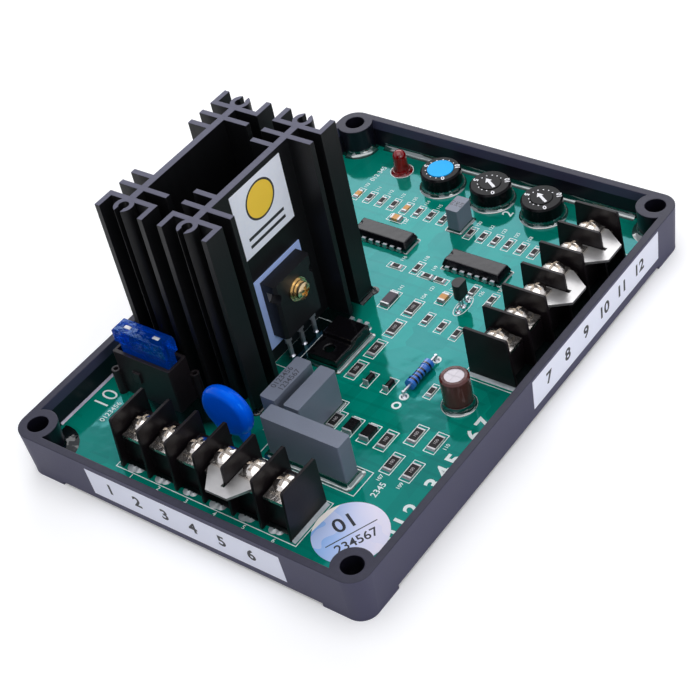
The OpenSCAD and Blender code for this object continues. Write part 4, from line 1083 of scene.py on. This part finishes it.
class REGULATOR_OT_trimmers(RegulatorOperator):
    """Gives the trimmers and the lamp their finish and prints the dials"""

    bl_idname = "regulator.trimmers"
    bl_label = "Dress Trimmers"

    def build(self, scene):
        body = moulded(
            "trimmer_body", tint(11, 10, 13), 0.2, grain=1500, depth=0.01, Specular_IOR_Level=0.1)
        blue = moulded(
            "blue_dial", tuple(scene.regulator_finish.dial), 0.45, grain=2200, depth=0.015, mottle=0.05,
            Specular_IOR_Level=0.2)
        white = moulded("dial_ink", tint(238, 238, 242), 0.4, mottle=0.05)
        for side in DIALS:
            dress(body, f"{side}_trimmer_body")
            self.scale(side, white)
        dress(blue, "left_trimmer_dial")
        for side in DIALS[1:]:
            dress(body, f"{side}_trimmer_dial")
            self.pointer(side, white)
        finish = Finish("red_lens")
        deep = finish.noise(400, detail=1.0)
        shade = finish.mix(deep, tint(100, 0, 2), tint(170, 0, 2))
        lens = finish.surface(
            shade, 0.08 + 0.08 * deep, Transmission_Weight=0.2, Coat_Weight=0.5, Coat_Roughness=0.03,
            Specular_IOR_Level=0.3)
        dress(lens, "indicator_lamp")

    @staticmethod
    def scale(side, ink):
        """Dots and plain numbers round a dial."""
        middle = centre_of(f"{side}_trimmer_body")
        middle.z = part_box(f"{side}_trimmer_body")[1][2] + HAIR
        dot_ring = radius_of(f"{side}_trimmer_dial") + 0.48 * MM

        def around(degrees, ring):
            angle = math.radians(degrees)
            return middle + ring * Vector((math.cos(angle), math.sin(angle), 0))

        bm = bmesh.new()
        for degrees in range(*DOT_HEADINGS):
            if degrees != DOT_GAP:
                add_ring(bm, around(degrees, dot_ring), DOT, 1, middle.z, segments=12)
        thicken(bm, 0.02 * MM)
        for words, degrees, ring in (("0", -48, 4.9), ("5", -175, 4.8), ("10", 36, 5.2)):
            where = place(shift(*around(degrees, ring * MM)), turn(degrees + 90))
            add_text(bm, words, 2.1 * MM, where, 0.02 * MM, 0.03)
        make_piece(f"{side}_dial_scale", bm, ink)

    @staticmethod
    def pointer(side, ink):
        """White arrow let into a turning dial."""
        middle = centre_of(f"{side}_trimmer_dial")
        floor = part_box(f"{side}_trimmer_dial")[1][2] - POINTER_DEPTH
        arrow = ((-2.7, -0.45), (0.7, -0.45), (0.7, -1.15), (2.5, 0), (0.7, 1.15), (0.7, 0.45), (-2.7, 0.45))
        facing = place(shift(middle.x, middle.y, floor), turn(POINTER_HEADING), stretch(0.985, 0.97, 1))
        bm = bmesh.new()
        bm.faces.new([bm.verts.new(facing @ Vector((x * MM, y * MM, HAIR))) for x, y in arrow])
        thicken(bm, POINTER_DEPTH - 0.02 * MM)
        make_piece(f"{side}_dial_pointer", bm, ink, body=f"{side}_dial")


class REGULATOR_OT_small_parts(RegulatorOperator):
    """Gives the logic chips, transistors and the resistor their finish"""

    bl_idname = "regulator.small_parts"
    bl_label = "Dress Small Parts"

    def build(self, scene):
        chip = moulded(
            "chip_moulding", tint(14, 11, 18), 0.14, grain=260, depth=0.12, rounded=0.7,
            Specular_IOR_Level=0.35)
        flat = moulded(
            "flat_moulding", tint(10, 9, 12), 0.1, grain=170, depth=0.4, rounded=0.7, Specular_IOR_Level=0.4)
        small = moulded("small_moulding", tint(16, 15, 18), 0.34, Specular_IOR_Level=0.3)
        dress(chip, "left_logic_chip", "right_logic_chip")
        dress(flat, "flat_transistor")
        dress(small, "small_transistor")
        dress(self.lacquer(), "axial_resistor")

    @staticmethod
    def lacquer():
        """Blue lacquer with dark bands round it."""
        finish = Finish("blue_lacquer")
        along = finish.axes()[1] - centre_of("axial_resistor").y
        coat = finish.noise(700, detail=2.0)
        shade = finish.mix(coat, tint(24, 86, 186), tint(66, 136, 228))
        for spot in (-3.4, -1.9, -0.5, 0.9, 3.2):
            ring = band(along, (spot - 0.33) * MM, (spot + 0.33) * MM)
            shade = finish.mix(ring, shade, tint(10, 14, 44))
        normal = finish.bump(coat, 0.08 * MM)
        return finish.surface(shade, 0.06 + 0.1 * coat, Normal=normal, Coat_Weight=0.6, Coat_Roughness=0.04)


class REGULATOR_OT_labels(RegulatorOperator):
    """Makes the two wall labels with plain numbers"""

    bl_idname = "regulator.labels"
    bl_label = "Make Labels"

    def build(self, scene):
        sizes = scene.regulator_label
        colour = tuple(scene.regulator_finish.label)
        paper = moulded("label_stock", colour, 0.38, grain=1200, depth=0.008, mottle=0.03)
        ink = moulded("label_ink", tint(30, 30, 36), 0.5, mottle=0.1)
        lean = turn(90 + WALL_LEAN, "X")
        front = place(shift(1.4 * MM, TRAY_LOW[1], TRAY_HIGH[2]), lean)
        side = place(shift(TRAY_HIGH[0], 31.3 * MM, TRAY_HIGH[2]), turn(90), lean)
        for name, wall, length, first, drop, offset in (
            ("front", front, sizes.front_length, 1, 6.7 * MM, -1.2 * MM),
            ("side", side, sizes.side_length, 7, 5.9 * MM, -1.5 * MM),
        ):
            low = (-length / 2, -drop - sizes.height / 2, 0.005 * MM)
            high = (length / 2, -drop + sizes.height / 2, sizes.thickness)
            bm = bmesh.new()
            add_block(bm, low, high)
            bmesh.ops.transform(bm, matrix=wall, verts=list(bm.verts))
            make_piece(f"{name}_label", bm, paper)
            bm = bmesh.new()
            for i in range(WAYS):
                along = offset + (i - (WAYS - 1) / 2) * WAY_PITCH
                where = place(wall, shift(along, -drop, sizes.thickness + 0.004 * MM))
                add_text(bm, str(first + i), sizes.figure, where, 0.006 * MM, 0.03)
            make_piece(f"{name}_label_figures", bm, ink)


class REGULATOR_OT_stickers(RegulatorOperator):
    """Makes the plain sticker on the heatsink and the round one on the resin"""

    bl_idname = "regulator.stickers"
    bl_label = "Make Stickers"

    def build(self, scene):
        self.square(scene.regulator_label.sticker / 2)
        self.disc(scene.regulator_label.disc / 2)

    @staticmethod
    def square(half):
        """White square with a plain yellow disc and two bare bars."""
        low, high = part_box("right_heatsink")
        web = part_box("right_insulating_pad")[0][0]
        middle = Vector((web, (low[1] + high[1]) / 2 + 1.1 * MM, high[2] - 12.3 * MM))
        finish = Finish("square_sticker")
        y, z = finish.axes()[1:]
        across, up = y - middle.y, z - middle.z
        grain = finish.noise(900, detail=2.0)
        radius = across * across + (up - 3 * MM) * (up - 3 * MM)
        field = radius < (5.2 * MM) ** 2
        rim = (radius < (5.8 * MM) ** 2) - field
        bars = (abs(across) < 7.4 * MM) * (band(up, -6.0 * MM, -5.0 * MM) + band(up, -8.4 * MM, -7.4 * MM))
        shade = finish.mix(grain, tint(236, 240, 255), tint(246, 248, 255))
        shade = finish.mix(field, shade, tint(255, 212, 66))
        shade = finish.mix(rim + bars, shade, tint(40, 40, 46))
        stock = finish.surface(shade, 0.4 + 0.08 * grain, Normal=finish.bump(grain, 0.006 * MM))
        bm = bmesh.new()
        add_block(bm, (web + 0.005 * MM, middle.y - half, middle.z - half),
                  (web + 0.08 * MM, middle.y + half, middle.z + half))
        make_piece("heatsink_sticker", bm, stock)

    @staticmethod
    def disc(radius):
        """Silvery round sticker with a painted sheen from blue to lilac, a painted highlight, a rule and
        plain figures.
        """
        middle = Vector((40.2 * MM, -59.4 * MM, BOARD_TOP))
        finish = Finish("round_sticker")
        x, y = finish.axes()[:2]
        across, up = x - middle.x, y - middle.y
        sheen = finish.noise(75, detail=1.0)
        tone = finish.noise(110, detail=1.0)
        # Painted sheen: blue towards one side, lilac towards the other.
        painted_sheen_slant = (across * 0.81 + up * 0.59) / (13 * MM) + 0.62 + (sheen - 0.5) * 0.8
        shade = finish.mix(painted_sheen_slant, tint(140, 186, 246), tint(236, 232, 252))
        shade = finish.mix((tone > 0.56) * 0.5, shade, tint(222, 224, 252))
        # A near-white patch at one edge: painted highlight.
        shade = finish.mix(across * -0.9 + up * 0.1 > 7.6 * MM, shade, tint(255, 250, 244))
        angle = math.radians(65)
        beside = across * -math.sin(angle) + up * math.cos(angle)
        along = across * math.cos(angle) + up * math.sin(angle)
        rule = (abs(beside + 0.4 * MM) < 0.16 * MM) * (abs(along) < 7.4 * MM)
        shade = finish.mix(rule, shade, tint(28, 30, 60))
        foil = finish.surface(shade, 0.3 + 0.1 * sheen, Normal=finish.bump(sheen, 0.05 * MM))
        bm = bmesh.new()
        add_ring(bm, middle, radius, 1, BOARD_TOP + 0.02 * MM, segments=64)
        thicken(bm, 0.08 * MM)
        make_piece("round_sticker", bm, foil)
        ink = moulded("sticker_ink", tint(22, 24, 40), 0.45, mottle=0.1)
        bm = bmesh.new()
        for words, size, x, y in (("01", 6.6, 37.2, -57.6), ("234567", 3.9, 43.1, -60.9)):
            where = place(shift(x * MM, y * MM, BOARD_TOP + 0.11 * MM), turn(62))
            add_text(bm, words, size * MM, where, HAIR, 0.012)
        make_piece("round_sticker_figures", bm, ink)


class REGULATOR_OT_stage(RegulatorOperator):
    """Sets the floor, the lamps, the surroundings and the camera"""

    bl_idname = "regulator.stage"
    bl_label = "Set Stage"

    def build(self, scene):
        sizes = scene.regulator_stage
        self.floor()
        for name, where, target, size, power in (
            ("key_softbox", (-0.50, 0.80, 0.53), (0.0, 0.0, 0.02), (0.95, 0.60), sizes.key),
            ("top_softbox", (0.05, -0.05, 1.0), (0.0, 0.0, 0.0), (1.1, 1.1), sizes.top),
            ("side_softbox", (0.90, -0.25, 0.45), (0.0, 0.0, 0.02), (0.5, 0.5), sizes.side),
        ):
            lamp = bpy.data.lights.new(name, "AREA")
            lamp.shape = "RECTANGLE"
            lamp.size, lamp.size_y = size
            lamp.energy = power
            holder = bpy.data.objects.new(name, lamp)
            heading = Vector(target) - Vector(where)
            holder.matrix_world = place(shift(*where), heading.to_track_quat("-Z", "Y").to_matrix().to_4x4())
            scene.collection.objects.link(holder)
        sky = Finish("studio", "worlds")
        seen = sum(sky.add("ShaderNodeLightPath", out=ray) for ray in CLEAN_RAYS)
        level = sizes.world + (1 - sizes.world) * seen.least(1)
        light = sky.add("ShaderNodeBackground", None, {"Color": (*CLEAN_WHITE, 1), "Strength": level})
        sky.add("ShaderNodeOutputWorld", None, {"Surface": light})
        scene.world = sky.owner
        scene.view_settings.view_transform = "Standard"
        self.camera(scene, sizes.lens)

    @staticmethod
    def floor():
        """Pale floor that glows a little for the camera, so that it nears white and keeps the shadow."""
        finish = Finish("studio_floor")
        dust = finish.noise(12, detail=2.0)
        shade = finish.mix(dust, (0.93, 0.93, 0.94), (0.95, 0.95, 0.95))
        seen = finish.add("ShaderNodeLightPath", out="Is Camera Ray")
        glow = finish.mix(seen, (0, 0, 0), (0.2, 0.2, 0.2))
        white = finish.surface(shade, 0.9, Emission_Color=glow, Emission_Strength=1.0)
        bm = bmesh.new()
        bmesh.ops.create_grid(bm, x_segments=1, y_segments=1, size=3)
        floor = make_object("floor", bm, white)

    @staticmethod
    def camera(scene, focal_length):
        lens = bpy.data.cameras.new("photo_camera")
        lens.sensor_width = 36
        lens.lens = focal_length
        lens.clip_start = 0.01
        eye = bpy.data.objects.new("photo_camera", lens)
        eye.matrix_world = place(shift(*CAMERA_PLACE), Matrix(CAMERA_AXES).transposed().to_4x4())
        scene.collection.objects.link(eye)
        scene.camera = eye


class REGULATOR_PT_dressing(bpy.types.Panel):
    """Lists the dressing steps and their settings"""

    bl_label = "Voltage Regulator"
    bl_idname = "REGULATOR_PT_dressing"
    bl_space_type = "VIEW_3D"
    bl_region_type = "UI"
    bl_category = "Regulator"

    def draw(self, context):
        for name, group in SETTINGS.items():
            column = self.layout.column(align=True)
            column.label(text=group.__doc__)
            for key in group.__annotations__:
                column.prop(getattr(context.scene, name), key)
        for step in STEPS:
            self.layout.operator(step.bl_idname)


SETTINGS = {
    "regulator_finish": FinishSettings,
    "regulator_print": PrintSettings,
    "regulator_resin": ResinSettings,
    "regulator_label": LabelSettings,
    "regulator_stage": StageSettings,
}
STEPS = (
    REGULATOR_OT_tray,
    REGULATOR_OT_board,
    REGULATOR_OT_resin_edges,
    REGULATOR_OT_print,
    REGULATOR_OT_chip_ends,
    REGULATOR_OT_heatsinks,
    REGULATOR_OT_terminals,
    REGULATOR_OT_fuse,
    REGULATOR_OT_capacitors,
    REGULATOR_OT_trimmers,
    REGULATOR_OT_small_parts,
    REGULATOR_OT_labels,
    REGULATOR_OT_stickers,
    REGULATOR_OT_stage,
)
CLASSES = (*SETTINGS.values(), *STEPS, REGULATOR_PT_dressing)


def register():
    for item in CLASSES:
        bpy.utils.register_class(item)
    for name, group in SETTINGS.items():
        setattr(bpy.types.Scene, name, PointerProperty(type=group))


def unregister():
    for name in SETTINGS:
        delattr(bpy.types.Scene, name)
    for item in reversed(CLASSES):
        bpy.utils.unregister_class(item)


def main():
    register()
    for step in STEPS:
        family, name = step.bl_idname.split(".")
        getattr(getattr(bpy.ops, family), name)()


if __name__ == "__main__":
    main()
